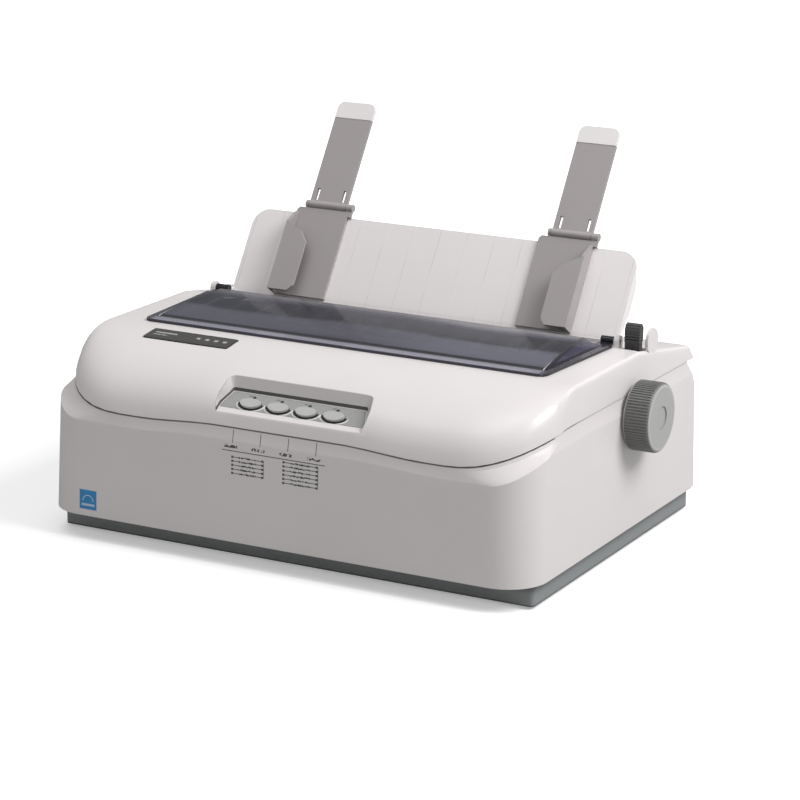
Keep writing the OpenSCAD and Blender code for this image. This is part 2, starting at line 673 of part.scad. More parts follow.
// Body shell with its screw bosses, rear sockets and the hole for the knob's hub.
knob_hole_r = 11;
module body_shell() {
  color("gainsboro") difference() {
    union() {
      body_skin();
      for (p = screw_places) translate([p[0], p[1], base_h + 1]) cylinder(r = boss_r, h = body_boss_h + 1);
    }
    rod_x(body_w / 2 - 10, body_w / 2 + 10, platen_y, platen_z, knob_hole_r);
    rear_hole(inlet_x, inlet_w, inlet_h);
    rear_hole(switch_x, switch_w, switch_h);
    rear_hole(port_x, port_w, port_h);
    for (p = screw_places) translate([p[0], p[1], base_h - 1]) cylinder(r = screw_r, h = body_boss_h + 1);
  }
}

// Chassis: a pan, two side frames and the rail, rod and plates between them.
pan_t = 2;
frame_z = pan_z + pan_t;
frame_foot = 18;
lever_pin_r = 4;
idler_post_r = 3;
bail_y = 180;
bail_z = 104;
bail_pin_r = 2;
tractor_y = 232;
tractor_z = 92;
tractor_shaft_r = 3;
tractor_rod_y = 240;
tractor_rod_z = 105;
tractor_rod_r = 2.5;
bush_r = 7;
bush_flange = 9;
// Depth and height of the wheel axes of the feed gears.
idler_dir = -120;
pinion_dir = -100;
idler_dist = gear_module * (platen_teeth + idler_teeth) / 2;
pinion_dist = gear_module * (idler_teeth + pinion_teeth) / 2;
idler_y = platen_y + idler_dist * cos(idler_dir);
idler_z = platen_z + idler_dist * sin(idler_dir);
pinion_y = idler_y + pinion_dist * cos(pinion_dir);
pinion_z = idler_z + pinion_dist * sin(pinion_dir);
module frame_outline() {
  polygon([[frame_y, frame_z], [pan_rear_y, frame_z], [pan_rear_y + 8, 62], [frame_rear_y, 84], [frame_rear_y, 110],
    [frame_rear_y - 12, 114], [200, 114], [192, 118], [150, 118], [140, 108], [frame_y + 6, 108], [frame_y, 100]]);
}
module side_frame(s) {
  x0 = s * frame_hw;
  x1 = s * (frame_hw + frame_t);
  difference() {
    union() {
      slice_x(min(x0, x1), frame_t) frame_outline();
      block([s * (frame_hw - frame_foot), frame_y, frame_z], [x1, pan_rear_y, frame_z + pan_t]);
      block([s * (frame_hw - 5), 110, cartridge_z - 2], [x1, 118, cartridge_z]);
    }
    rod_x(x0 - s, x1 + s, platen_y, platen_z, bush_r);
    rod_x(x0 - s, x1 + s, bail_y, bail_z, bail_pin_r + run_gap);
    rod_x(x0 - s, x1 + s, rod_y, rod_z, rod_r);
    rod_x(x0 - s, x1 + s, tractor_y, tractor_z, tractor_shaft_r + run_gap);
    rod_x(x0 - s, x1 + s, tractor_rod_y, tractor_rod_z, tractor_rod_r);
    rod_x(x0 - s, x1 + s, press_y, press_z, press_shaft_r + run_gap);
    block([x0 - s, 150, 30], [x1 + s, 185, 62 - (s < 0 ? 40 : 0)]);
    for (p = frame_posts) translate([p[0], p[1], frame_z - 1]) cylinder(r = screw_r + 0.1, h = pan_t + 2);
  }
}
module left_side_frame() {
  color("silver") difference() {
    union() {
      side_frame(-1);
      rod_x(-frame_hw - 1, -gear_x1 - 2, idler_y, idler_z, idler_post_r);
      block([-frame_hw - 1, belt_y - 8, belt_z - 4], [-pulley_x + 8, belt_y + 8, belt_z - 1.8]);
      translate([-pulley_x, belt_y, belt_z - 3]) cylinder(r = pulley_shaft_r, h = belt_h + 5);
    }
    rod_x(-frame_hw + 1, -frame_hw - frame_t - 1, pinion_y, pinion_z, 5);
  }
}
module right_side_frame() {
  color("silver") union() {
    side_frame(1);
    rod_x(frame_hw + 1, lever_x + lever_w / 2, lever_y, lever_z, lever_pin_r);
  }
}
module chassis_pan() {
  color("silver") difference() {
    union() {
      block([-frame_hw - frame_t, frame_y, pan_z], [frame_hw + frame_t, pan_rear_y, frame_z]);
      block([-90, frame_y, pan_z], [90, frame_y + 2, pan_z + 14]);
    }
    for (x = [-100 : 50 : 100]) translate([x, 150, pan_z - 1]) cylinder(r = 9, h = 5);
    for (p = frame_posts) translate([p[0], p[1], pan_z - 1]) cylinder(r = screw_r + 0.1, h = pan_t + 2);
  }
}
screw_len = 18;
module screw() {
  translate([0, 0, -screw_len]) cylinder(r = screw_r, h = screw_len + 1);
  cylinder(r = screw_head_r, h = head_recess);
}
module screws() {
  color("silver") {
    for (p = frame_posts) translate([p[0], p[1], frame_z + pan_t]) screw();
    for (p = screw_places) translate([p[0], p[1], head_recess]) mirror([0, 0, 1]) screw();
  }
}
rail_z = 76;
module front_rail() {
  color("silver") {
    block([-frame_hw, frame_y + 1, rail_z - 14], [frame_hw, frame_y + 3, rail_z]);
    block([-frame_hw, frame_y + 1, rail_z - 2], [frame_hw, frame_y + 10, rail_z]);
  }
}
module guide_rod() {
  color("silver") rod_x(-frame_hw - frame_t, frame_hw + frame_t, rod_y, rod_z, rod_r);
}

// Platen, its bearings and its knob.
gear_x0 = frame_hw + frame_t + 3;
gear_x1 = gear_x0 + gear_t;
module platen_roller() {
  color("dimgray") difference() {
    rod_x(-platen_hl, platen_hl, platen_y, platen_z, platen_r);
    rod_x(-platen_hl - 1, platen_hl + 1, platen_y, platen_z, shaft_r);
  }
}
module platen_shaft() {
  color("silver") rod_x(-gear_x1 - 1, knob_x + 12, platen_y, platen_z, shaft_r);
}
module bushes() {
  color("tan") for (s = [-1, 1]) difference() {
    union() {
      rod_x(s * (frame_hw - 1), s * (frame_hw + frame_t), platen_y, platen_z, bush_r);
      rod_x(s * (frame_hw - 2), s * frame_hw, platen_y, platen_z, bush_flange);
    }
    rod_x(s * (frame_hw - 3), s * (frame_hw + frame_t + 1), platen_y, platen_z, shaft_r + run_gap);
  }
}
hub_r = 9;
knob_out = knob_x + knob_t;
rib_depth = 0.7;
module knob_outline() {
  polygon([for (i = [0 : knob_ribs - 1], k = [[0, 0], [0.35, 0], [0.5, 1], [0.85, 1]])
    let(a = 360 * (i + k[0]) / knob_ribs, r = knob_r - rib_depth * k[1]) [r * cos(a), r * sin(a)]]);
}
knob_edge_r = 3;
knob_neck = 1.5;
dimple_r = 8;
dimple_depth = 0.8;
// The grip turned about the axis: stepped in at the back and rounded at the outer edge.
module knob_turned() {
  translate([knob_x, platen_y, platen_z]) rotate([0, 90, 0]) rotate_extrude($fn = 96) union() {
    square([knob_r - knob_neck, knob_neck + 1]);
    translate([0, knob_neck]) square([knob_r, knob_t - knob_neck - knob_edge_r]);
    square([knob_r - knob_edge_r, knob_t]);
    translate([knob_r - knob_edge_r, knob_t - knob_edge_r]) intersection() {
      circle(r = knob_edge_r);
      square(knob_edge_r);
    }
  }
}
module platen_knob() {
  color("gray") difference() {
    union() {
      intersection() {
        knob_turned();
        translate([knob_x, platen_y, platen_z]) rotate([0, 90, 0]) linear_extrude(knob_t) knob_outline();
      }
      rod_x(knob_x - 10, knob_x + 1, platen_y, platen_z, hub_r);
    }
    rod_x(knob_x - 11, knob_x + 12, platen_y, platen_z, shaft_r);
    rod_x(knob_out - dimple_depth, knob_out + 1, platen_y, platen_z, dimple_r);
  }
}

// Involute gears. A tooth is centred at angle 0, and meshing wheels are turned to fit.
pressure = 20;
backlash = 0.12;
function involute_angle(r, rb) = let(k = sqrt(max(0, r * r / (rb * rb) - 1))) k * 180 / PI - atan(k);
function tooth_half(r, n) = let(
    rp = gear_module * n / 2,
    rb = rp * cos(pressure))
  90 / n - backlash / 2 / rp * 180 / PI + involute_angle(rp, rb) - involute_angle(max(r, rb), rb);
module gear_outline(n) {
  rp = gear_module * n / 2;
  root = rp - 1.25 * gear_module;
  tip = rp + 0.95 * gear_module;
  rs = [root, lerp(root, tip, 0.45), lerp(root, tip, 0.75), tip];
  polygon([for (i = [0 : n - 1], s = [-1, 1], j = [0 : 3])
    let(r = rs[s < 0 ? j : 3 - j], a = 360 * i / n + s * tooth_half(r, n)) [r * cos(a), r * sin(a)]]);
}
function mesh_turn(turn, na, nb, dir) = dir + 180 - 180 / nb - (turn - dir) * na / nb;
idler_turn = mesh_turn(0, platen_teeth, idler_teeth, idler_dir);
pinion_turn = mesh_turn(idler_turn, idler_teeth, pinion_teeth, pinion_dir);
module gear_x(n, turn, y, z) {
  slice_x(-gear_x1, gear_t) translate([y, z]) rotate(turn) gear_outline(n);
}
module platen_gear() {
  color("ivory") difference() {
    union() {
      gear_x(platen_teeth, 0, platen_y, platen_z);
      rod_x(-gear_x1, -frame_hw - frame_t - 0.3, platen_y, platen_z, 6.5);
    }
    rod_x(-gear_x1 - 1, -frame_hw, platen_y, platen_z, shaft_r);
    for (a = [30 : 60 : 330])
      rod_x(-gear_x1 - 1, -gear_x0 + 1, platen_y + 12 * cos(a), platen_z + 12 * sin(a), 3.5);
  }
}
module idler_gear() {
  color("ivory") difference() {
    union() {
      gear_x(idler_teeth, idler_turn, idler_y, idler_z);
      rod_x(-gear_x1, -frame_hw - frame_t - 0.3, idler_y, idler_z, 6);
    }
    rod_x(-gear_x1 - 1, -frame_hw, idler_y, idler_z, idler_post_r + run_gap);
  }
}
module feed_pinion() {
  color("silver") union() {
    gear_x(pinion_teeth, pinion_turn, pinion_y, pinion_z);
    rod_x(-gear_x1, -frame_hw + 1, pinion_y, pinion_z, 2);
  }
}
motor_r = 18;
module feed_motor() {
  color("dimgray") difference() {
    rod_x(-frame_hw, -frame_hw + 21, pinion_y, pinion_z, motor_r);
    rod_x(-frame_hw - 1, -frame_hw + 8, pinion_y, pinion_z, 2 + run_gap);
  }
}

// Carriage with its print head, riding on the rod and moved by a belt.
belt_z = 57;
carriage_z = 66.5;
carriage_top = 86;
jaw_y = rod_y - 3 - pulley_r;
belt_y = jaw_y + pulley_r;
module carriage() {
  color("dimgray") difference() {
    union() {
      block([-carriage_w / 2, 108, carriage_z], [carriage_w / 2, 142, 79]);
      block([-carriage_w / 2 + 3, 112, 78], [carriage_w / 2 - 3, 138, carriage_top]);
      block([-8, frame_y + 5, rail_z + 0.3], [8, 109, rail_z + 4]);
      block([-7, jaw_y - 3, belt_z - 1.5], [7, jaw_y + 3, carriage_z + 1]);
    }
    rod_x(-carriage_w, carriage_w, rod_y, rod_z, rod_r + run_gap);
    block([-8, jaw_y - belt_t / 2 - 0.3, belt_z - 0.3], [8, jaw_y + belt_t / 2 + 0.3, belt_z + belt_h + 0.3]);
  }
}
nose_y = platen_y - platen_r - head_gap;
head_hw = 13;
module print_head() {
  color("gray") union() {
    skin([for (r = [[116, 1, 86, 106], [132, 1, 86, 106], [140, 0.8, 87, 103], [nose_y - 4, 0.35, 89, 99],
        [nose_y, 0.3, 90, 98]]) let(w = head_hw * r[1])
      [[-w, r[0], r[2]], [w, r[0], r[2]], [w, r[0], r[3]], [-w, r[0], r[3]]]]);
    for (y = [117.5 : 3 : 131]) block([-head_hw - 2, y, 87], [head_hw + 2, y + 1.2, 109]);
  }
}
ribbon_y = nose_y + (head_gap - ribbon_t) / 2;
cartridge_z = 86;
cartridge_top = 104;
cartridge_hw = frame_hw - 2;
arm_in = cartridge_hw - 7.5;
module ribbon() {
  color("black") block([-arm_in - 3, ribbon_y, platen_z - ribbon_h / 2], [arm_in + 3, ribbon_y + ribbon_t, platen_z + ribbon_h / 2]);
}
module ribbon_cartridge() {
  color("dimgray") difference() {
    union() {
      block([-cartridge_hw, 90, cartridge_z + 2], [cartridge_hw, 107, cartridge_top]);
      for (s = [-1, 1]) block([s * arm_in, 90, cartridge_z], [s * cartridge_hw, nose_y + 4, cartridge_top - 2]);
      for (x = [-110 : 20 : 110]) block([x - 1, 90.5, cartridge_top - 1], [x + 1, 106, cartridge_top + 0.8]);
      rod_x(-30, 30, 98.5, cartridge_top - 1, 4);
    }
    for (s = [-1, 1]) block([s * (arm_in - 1), ribbon_y, platen_z - ribbon_h / 2], [s * (arm_in + 3), ribbon_y + ribbon_t, platen_z + ribbon_h / 2]);
  }
}
pulley_shaft_r = 2;
module carriage_belt() {
  color("black") difference() {
    union() {
      block([-pulley_x, belt_y - pulley_r - belt_t / 2, belt_z], [pulley_x, belt_y + pulley_r + belt_t / 2, belt_z + belt_h]);
      for (s = [-1, 1]) translate([s * pulley_x, belt_y, belt_z]) cylinder(r = pulley_r + belt_t / 2, h = belt_h);
    }
    block([-pulley_x, belt_y - pulley_r + belt_t / 2, belt_z - 1], [pulley_x, belt_y + pulley_r - belt_t / 2, belt_z + belt_h + 1]);
    for (s = [-1, 1]) translate([s * pulley_x, belt_y, belt_z - 1]) cylinder(r = pulley_r - belt_t / 2, h = belt_h + 2);
  }
}
motor_shaft_end = 39;
module drive_pulley() {
  color("ivory") translate([pulley_x, belt_y, 0]) union() {
    translate([0, 0, belt_z - 0.5]) cylinder(r = pulley_r - belt_t / 2 - 0.3, h = belt_h + 1);
    translate([0, 0, belt_z - 1.6]) cylinder(r = pulley_r + 1.5, h = 1.2);
    translate([0, 0, motor_shaft_end]) cylinder(r = pulley_shaft_r, h = belt_z - motor_shaft_end);
  }
}
module carriage_motor() {
  color("dimgray") difference() {
    translate([pulley_x, belt_y, frame_z + pan_t]) cylinder(r = 11.5, h = 22);
    translate([pulley_x, belt_y, motor_shaft_end - 1]) cylinder(r = pulley_shaft_r + run_gap, h = 10);
  }
}
module idler_pulley() {
  color("ivory") translate([-pulley_x, belt_y, 0]) difference() {
    union() {
      translate([0, 0, belt_z - 0.5]) cylinder(r = pulley_r - belt_t / 2 - 0.3, h = belt_h + 1);
      translate([0, 0, belt_z - 1.6]) cylinder(r = pulley_r + 1.5, h = 1.2);
    }
    translate([0, 0, belt_z - 3]) cylinder(r = pulley_shaft_r + run_gap, h = belt_h + 6);
  }
}

// Paper path: a trough under the platen with pressure rollers, and the bail above it.
roller_xs = [-90, -30, 30, 90];
press_r = 5;
press_len = 16;
press_dir = -75;
press_gap = 0.3;
press_y = platen_y + (platen_r + press_r + press_gap) * cos(press_dir);
press_z = platen_z + (platen_r + press_r + press_gap) * sin(press_dir);
press_shaft_r = 2;
trough_r = platen_r + 1.5;
trough_hw = platen_hl - 2;
module paper_pan() {
  color("silver") difference() {
    union() {
      slice_x(-trough_hw, 2 * trough_hw) translate([platen_y, platen_z]) intersection() {
        difference() {
          circle(r = trough_r + 1);
          circle(r = trough_r);
        }
        polygon([[0, 0], for (a = [-140 : 26 : -10]) 30 * [cos(a), sin(a)]]);
      }
      for (s = [-1, 1]) block([s * (trough_hw - 2), platen_y + trough_r - 1, 84], [s * frame_hw, platen_y + trough_r + 1, 91]);
    }
    for (x = roller_xs) block([x - press_len / 2 - 2, press_y - 7, press_z - 8], [x + press_len / 2 + 2, press_y + 7, press_z + 6]);
  }
}
module pressure_rollers() {
  color("dimgray") {
    rod_x(-frame_hw - frame_t, frame_hw + frame_t, press_y, press_z, press_shaft_r);
    for (x = roller_xs) rod_x(x - press_len / 2, x + press_len / 2, press_y, press_z, press_r);
  }
}
bail_roller_r = 6;
bail_bar_r = 2.5;
bail_dir = 120;
bail_bar_y = platen_y + (platen_r + bail_roller_r + press_gap) * cos(bail_dir);
bail_bar_z = platen_z + (platen_r + bail_roller_r + press_gap) * sin(bail_dir);
bail_arm_x = frame_hw - 3.5;
bail_arm_t = 2;
module paper_bail() {
  color("silver") union() {
    rod_x(-bail_arm_x - bail_arm_t, bail_arm_x + bail_arm_t, bail_bar_y, bail_bar_z, bail_bar_r);
    for (s = [-1, 1]) {
      slice_x(min(s * bail_arm_x, s * (bail_arm_x + bail_arm_t)), bail_arm_t)
        polygon([[bail_bar_y - 4, bail_bar_z - 2], [bail_y, bail_z - 4], [bail_y + 4, bail_z], [bail_y + 2, bail_z + 4],
          [bail_bar_y, bail_bar_z + 4], [bail_bar_y - 4, bail_bar_z + 3]]);
      rod_x(s * bail_arm_x, s * (frame_hw + frame_t), bail_y, bail_z, bail_pin_r);
    }
  }
}
module bail_rollers() {
  color("dimgray") for (x = roller_xs) difference() {
    rod_x(x - 7, x + 7, bail_bar_y, bail_bar_z, bail_roller_r);
    rod_x(x - 8, x + 8, bail_bar_y, bail_bar_z, bail_bar_r + run_gap);
  }
}

// Tractors for punched paper, sliding on a driven shaft and a plain rod.
tractor_x = 80;
tractor_w = 24;
tractor_pin_n = 5;
module tractor(s) {
  color("dimgray") difference() {
    union() {
      slice_x(s * tractor_x - tractor_w / 2, tractor_w)
        polygon([[218, 88], [224, 84], [242, 84], [248, 90], [248, 108], [242, 113], [226, 113], [218, 106]]);
      for (i = [0 : tractor_pin_n - 1])
        translate([s * (tractor_x - 4), 226 + 4 * i, 112.5]) cylinder(r = 0.9, h = 2.2);
    }
    rod_x(s * tractor_x - tractor_w, s * tractor_x + tractor_w, tractor_y, tractor_z, tractor_shaft_r + run_gap);
    rod_x(s * tractor_x - tractor_w, s * tractor_x + tractor_w, tractor_rod_y, tractor_rod_z, tractor_rod_r + run_gap);
  }
}
module tractor_shaft() {
  color("silver") rod_x(-frame_hw - frame_t, frame_hw + frame_t, tractor_y, tractor_z, tractor_shaft_r);
}
module tractor_rod() {
  color("silver") rod_x(-frame_hw - frame_t, frame_hw + frame_t, tractor_rod_y, tractor_rod_z, tractor_rod_r);
}

// Electronics on the tray's posts.
module main_board() {
  color("seagreen") {
    block([-70, 42, board_z], [70, 184, board_z + board_t]);
    for (x = [-50, -10, 30], y = [60, 110, 150]) block([x, y, board_z + board_t - 0.1], [x + 18, y + 38 - 16, board_z + 5]);
    for (x = [-40 : 20 : 40]) translate([x, 50, board_z + board_t - 0.1]) cylinder(r = 4, h = 14);
    block([62, 80, board_z + board_t - 0.1], [69, 140, board_z + 9]);
  }
}
module power_board() {
  color("peru") translate([0, power_y, board_z]) {
    block([-138, -56, 0], [-42, 8, board_t]);
    for (x = [-126, -104]) translate([x, -36, board_t - 0.1]) cylinder(r = 9, h = 26);
    block([-90, -52, board_t - 0.1], [-50, -49, 30]);
    for (x = [-84 : 8 : -52]) block([x, -54, board_t - 0.1], [x + 1.5, -44, 30]);
    block([-80, -22, board_t - 0.1], [-60, -10, 10]);
  }
}
core_x = 6;
core_y = power_y - 26;
core_z = tray_floor;
module transformer() {
  color("silver") translate([core_x, core_y, core_z]) {
    block([-28, -22, 0], [28, 22, 3]);
    block([-24, -20, 2], [24, 20, 45.5]);
    block([-16, -28, 9.5], [16, 28, 37.5]);
  }
}

// Sheet support: a leaning plate with returned edges and slots for the guides.
slot_z = 30;
slot_h = 4.4;
tongue_w = 10;
guide_in = 42;
guide_out = 30;
tongue_gap = 0.2;
module on_support() {
  translate([0, support_y, support_z]) rotate([-support_tilt, 0, 0]) children();
}
// An outline in width and height on the support, with thickness from y to y + t.
module upright(y, t) {
  translate([0, y + t, 0]) rotate([90, 0, 0]) linear_extrude(t) children();
}
module paper_support() {
  color("lightgray") on_support() union() {
    difference() {
      upright(0, support_t) polygon(concat(
        [[-support_hw, 0], [support_hw, 0]],
        [for (a = [0 : 15 : 90]) [support_hw - support_r + support_r * cos(a), support_len - support_r + support_r * sin(a)]],
        [for (a = [90 : 15 : 180]) [-support_hw + support_r + support_r * cos(a), support_len - support_r + support_r * sin(a)]]));
      for (s = [-1, 1]) block([s * (guide_x - guide_in - tongue_w / 2 - 0.5), -1, slot_z - slot_h / 2],
        [s * (guide_x + guide_out + tongue_w / 2 + 0.5), support_t + 1, slot_z + slot_h / 2]);
    }
    for (s = [-1, 1]) {
      slice_x(min(s * support_hw, s * (support_hw - 2.5)), 2.5)
        polygon([[0.5, 0], [2, 0], [3, 3], [support_return, 24], [support_return, support_len - 24],
          [support_t, support_len - support_r], [0.5, support_len - support_r]]);
      rod_x(s * (support_hw - 3), s * support_hw, 0, 0, 2.2);
      rod_x(s * (support_hw - 1), s * (support_ear_x + ear_t - fit_gap), 0, 0, support_pin_r);
    }
  }
}
guide_y = -0.2 - guide_t;
barrel_arm_r = 2.8;
pivot_z = guide_len + barrel_arm_r + 0.4;
pivot_y = -1.5;
arm_pin_r = 1.2;
pin_left = 2.5;
pin_right = 5.5;
module guide(s) {
  x0 = s * guide_x;
  xa = x0 + arm_x;
  out = s * guide_w / 2;
  color("darkgray") on_support() difference() {
    union() {
      upright(guide_y, guide_t) polygon([[x0 - guide_w / 2, 1.5], [x0 + guide_w / 2, 1.5], [x0 + guide_w / 2, guide_len - 2],
        [x0 + guide_w / 2 - 2, guide_len], [x0 - guide_w / 2 + 2, guide_len], [x0 - guide_w / 2, guide_len - 2]]);
      slice_x(min(x0 + out, x0 + out - s * guide_t), guide_t)
        polygon([[-0.2, 1.5], [-0.2, guide_len - 2], [guide_y - 1, guide_len - 4], [-guide_depth, guide_len - 15], [-guide_depth, 1.5]]);
      upright(-guide_depth, guide_t) polygon([[x0 + out, 1.5], [x0 + out, guide_len - 15],
        [x0 + out - s * guide_lip * 0.7, guide_len - 22], [x0 + out - s * guide_lip, guide_len - 30],
        [x0 + out - s * guide_lip, 6], [x0 + out - s * (guide_lip - 4), 1.5]]);
      block([x0 - tongue_w / 2, -0.5, slot_z - slot_h / 2 + 0.2], [x0 + tongue_w / 2, support_t + tongue_gap + 0.1, slot_z + slot_h / 2 - 0.2]);
      block([x0 - tongue_w / 2, support_t + tongue_gap, slot_z - 6], [x0 + tongue_w / 2, support_t + tongue_gap + 2, slot_z + 6]);
      for (e = [[-arm_w / 2 - pin_left, -arm_w / 2 - fit_gap], [arm_w / 2 + fit_gap, arm_w / 2 + pin_right]]) {
        rod_x(xa + e[0], xa + e[1], pivot_y, pivot_z, barrel_arm_r);
        block([xa + e[0], guide_y, guide_len - 4], [xa + e[1], -0.2, pivot_z]);
      }
    }
    rod_x(xa - guide_w, xa + guide_w, pivot_y, pivot_z, arm_pin_r);
  }
}
module arm_outline(z0, z1, r) {
  polygon(concat([[-arm_w / 2, z0], [arm_w / 2, z0]],
    [for (a = [0 : 30 : 90]) [arm_w / 2 - r + r * cos(a), z1 - r + r * sin(a)]],
    [for (a = [90 : 30 : 180]) [-arm_w / 2 + r + r * cos(a), z1 - r + r * sin(a)]]));
}
arm_end = pivot_z + arm_len - tip_len;
// Two short slits through each arm, just above its pivot.
slit_in = 4.5;
slit_w = 2.4;
slit_len = 9;
module arm(s) {
  color("darkgray") on_support() translate([s * guide_x + arm_x, 0, 0]) difference() {
    union() {
      translate([0, pivot_y, 0]) upright(-arm_t / 2, arm_t) difference() {
        polygon([[-arm_w / 2, pivot_z], [arm_w / 2, pivot_z], [arm_w / 2, arm_end], [-arm_w / 2, arm_end]]);
        for (i = [-1, 1]) translate([i * (arm_w / 2 - slit_in) - slit_w / 2, pivot_z + barrel_arm_r + 0.5])
          square([slit_w, slit_len]);
      }
      rod_x(-arm_w / 2, arm_w / 2, pivot_y, pivot_z, barrel_arm_r);
    }
    rod_x(-arm_w, arm_w, pivot_y, pivot_z, arm_pin_r + run_gap);
  }
}
module tip(s) {
  color("lightgray") on_support() translate([s * guide_x + arm_x, pivot_y, 0]) upright(-arm_t / 2 - 0.3, arm_t + 0.6)
    arm_outline(arm_end, arm_end + tip_len, 5);
}
module arm_pin(s) {
  color("silver") on_support() translate([s * guide_x + arm_x, 0, 0])
    rod_x(-arm_w / 2 - pin_left, arm_w / 2 + pin_right, pivot_y, pivot_z, arm_pin_r);
}
module release_lever() {
  color("dimgray") difference() {
    union() {
      rod_x(lever_x - lever_w / 2, lever_x + lever_w / 2, lever_y, lever_z, 7);
      block([lever_x - lever_w / 2, lever_y - 2, lever_z], [lever_x + lever_w / 2, lever_y + 2.4, lever_top - 5]);
      slice_x(lever_x - lever_w / 2, lever_w)
        polygon([[lever_y - 2, lever_top - 14], [lever_y - 3, lever_top - 5], [lever_y - 1.5, lever_top - 1],
          [lever_y + 1.5, lever_top], [lever_y + 4, lever_top - 3], [lever_y + 3.5, lever_top - 12]]);
      for (i = [0 : 4]) rod_x(lever_x - lever_w / 2, lever_x + lever_w / 2, lever_y - 2.7 + 0.1 * i, lever_top - 12 + 2 * i, 0.6);
    }
    rod_x(lever_x - lever_w, lever_x + lever_w, lever_y, lever_z, lever_pin_r + run_gap);
  }
}

place() base_tray();
place() rubber_feet();
place() body_shell();
place() power_inlet();
place() interface_port();
place() switch_housing();
place() power_switch();
place() top_cover();
place() name_plate();
place() smoked_lid();
place() control_panel();
place() button(0);  // button_1
place() button(1);  // button_2
place() button(2);  // button_3
place() button(3);  // button_4
place() panel_board();
place() indicator_lamps();
place() paper_support();
place() guide(-1);  // left_guide
place() guide(1);  // right_guide
place() arm(-1);  // left_arm
place() arm(1);  // right_arm
place() tip(-1);  // left_tip
place() tip(1);  // right_tip
place() arm_pin(-1);  // left_arm_pin
place() arm_pin(1);  // right_arm_pin
place() release_lever();
place() platen_knob();
place() platen_shaft();
place() platen_roller();
place() platen_gear();
place() idler_gear();
place() feed_pinion();
place() feed_motor();
place() bushes();
place() chassis_pan();
place() left_side_frame();
place() right_side_frame();
place() screws();
place() front_rail();
place() guide_rod();
place() carriage();
place() print_head();
place() ribbon_cartridge();
place() ribbon();
place() carriage_belt();
place() drive_pulley();
place() idler_pulley();
place() carriage_motor();
place() paper_pan();
place() pressure_rollers();
place() paper_bail();
place() bail_rollers();
place() tractor(-1);  // left_tractor
place() tractor(1);  // right_tractor
place() tractor_shaft();
place() tractor_rod();
place() main_board();
place() power_board();
place() transformer();
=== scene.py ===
"""Dot matrix printer: materials, thin parts, camera, floor and light round the CAD frame.

Machine millimetres run x across, y back from the front edge and z up from the tray's underside, as
in the part's source. place() turns them into the row frame's metres, and Paint.mx, my and mz are the
same three values inside a material."""
import functools
import math

import bpy
import numpy as np
from mathutils import Matrix


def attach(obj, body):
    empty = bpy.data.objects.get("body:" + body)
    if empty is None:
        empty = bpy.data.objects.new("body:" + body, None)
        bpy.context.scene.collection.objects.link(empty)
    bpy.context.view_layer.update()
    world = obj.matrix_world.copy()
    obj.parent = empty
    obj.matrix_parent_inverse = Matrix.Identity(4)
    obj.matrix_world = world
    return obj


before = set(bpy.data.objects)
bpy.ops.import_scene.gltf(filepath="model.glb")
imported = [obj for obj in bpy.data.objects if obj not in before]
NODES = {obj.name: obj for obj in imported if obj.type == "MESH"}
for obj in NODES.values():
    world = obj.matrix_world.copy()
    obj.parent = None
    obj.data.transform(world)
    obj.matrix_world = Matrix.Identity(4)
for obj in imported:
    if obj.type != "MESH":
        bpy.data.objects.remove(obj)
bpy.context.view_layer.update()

# ---------------------------------------------------------------- sizes of the printer, in mm
MM = 0.001
BODY_D = 287.5
BASE_H = 15.5  # height of the body's lower edge
DRAFT = 0.0272  # inward lean of the body's walls for each millimetre of height
FOOT_H = 2.0

# Platen knob, turned about the platen's axis
KNOB_Y, KNOB_Z = 167.0, 94.0
KNOB_R, KNOB_T, KNOB_GAP = 24.0, 19.0, 1.2
DIMPLE_R = 8.0

# The row frame's origin: the middle of the footprint, knob included
ORIGIN_X = (KNOB_GAP + KNOB_T - DRAFT * (KNOB_Z - BASE_H)) / 2
ORIGIN_Y = BODY_D / 2

# Seam between body and cover: it dips each side of the middle and climbs round the corners
SEAM_Z, FRONT_SEAM_Z, SEAM_DIP = 109.5, 94.0, 3.2
SEAM_WAVE_X, SEAM_WAVE_W = 108.0, 62.0
SEAM_CLIMB_X, SEAM_CLIMB_L = 122.0, 130.0
SEAM_FRONT_DEPTH = 45.0  # how far back the front's deeper seam shadow reaches

# Smoked lid
LID_Y, LID_D, LID_FLANGE, LID_EDGE = 83.5, 94.5, 10.5, 5.0
LID_FRONT_HW, LID_REAR_HW = 154.0, 160.0
LID_RIDGE_IN = 10.0  # distance of the raised top's ridge from the lid's rear edge
HIP_LEAN = 11.0

# Sheet support
SUPPORT_Y, SUPPORT_Z, SUPPORT_TILT = 201.0, 133.0, math.radians(33)
SUPPORT_HW, SUPPORT_LEN, SUPPORT_R = 153.5, 66.0, 13.0
SCALE_PITCH = 21.5  # distance between the support's upright scale lines
SKIN_MARGIN, SKIN_FOOT, SKIN_PROUD = 2.7, 2.0, 0.1

# Control panel's floor, the bevelled recess round it and its four buttons
PANEL_X, PANEL_Y, PANEL_Z, PANEL_HW = 6.5, 8.5, 104.6, 54.0
PANEL_RUN, PANEL_RISE = 13.5, 8.4
PANEL_SLOPE = math.atan2(PANEL_RISE, PANEL_RUN)
PANEL_LEN = math.hypot(PANEL_RISE, PANEL_RUN)
PANEL_STRAIGHT, PANEL_SLANT = 4.0, 4.0
PANEL_SIDE_FLARE, PANEL_BACK_FLARE = 0.55, 1.36
PANEL_CORNER_R, PANEL_CORNER_FLARE = 1.5, 0.4
BUTTONS, BUTTON_PITCH, BUTTON_SHIFT = 4, 21.0, -1.0
BUTTON_V, BUTTON_HW, BUTTON_FRONT = 6.7, 7.75, 4.8
BUTTON_MEAN_R = 5.5

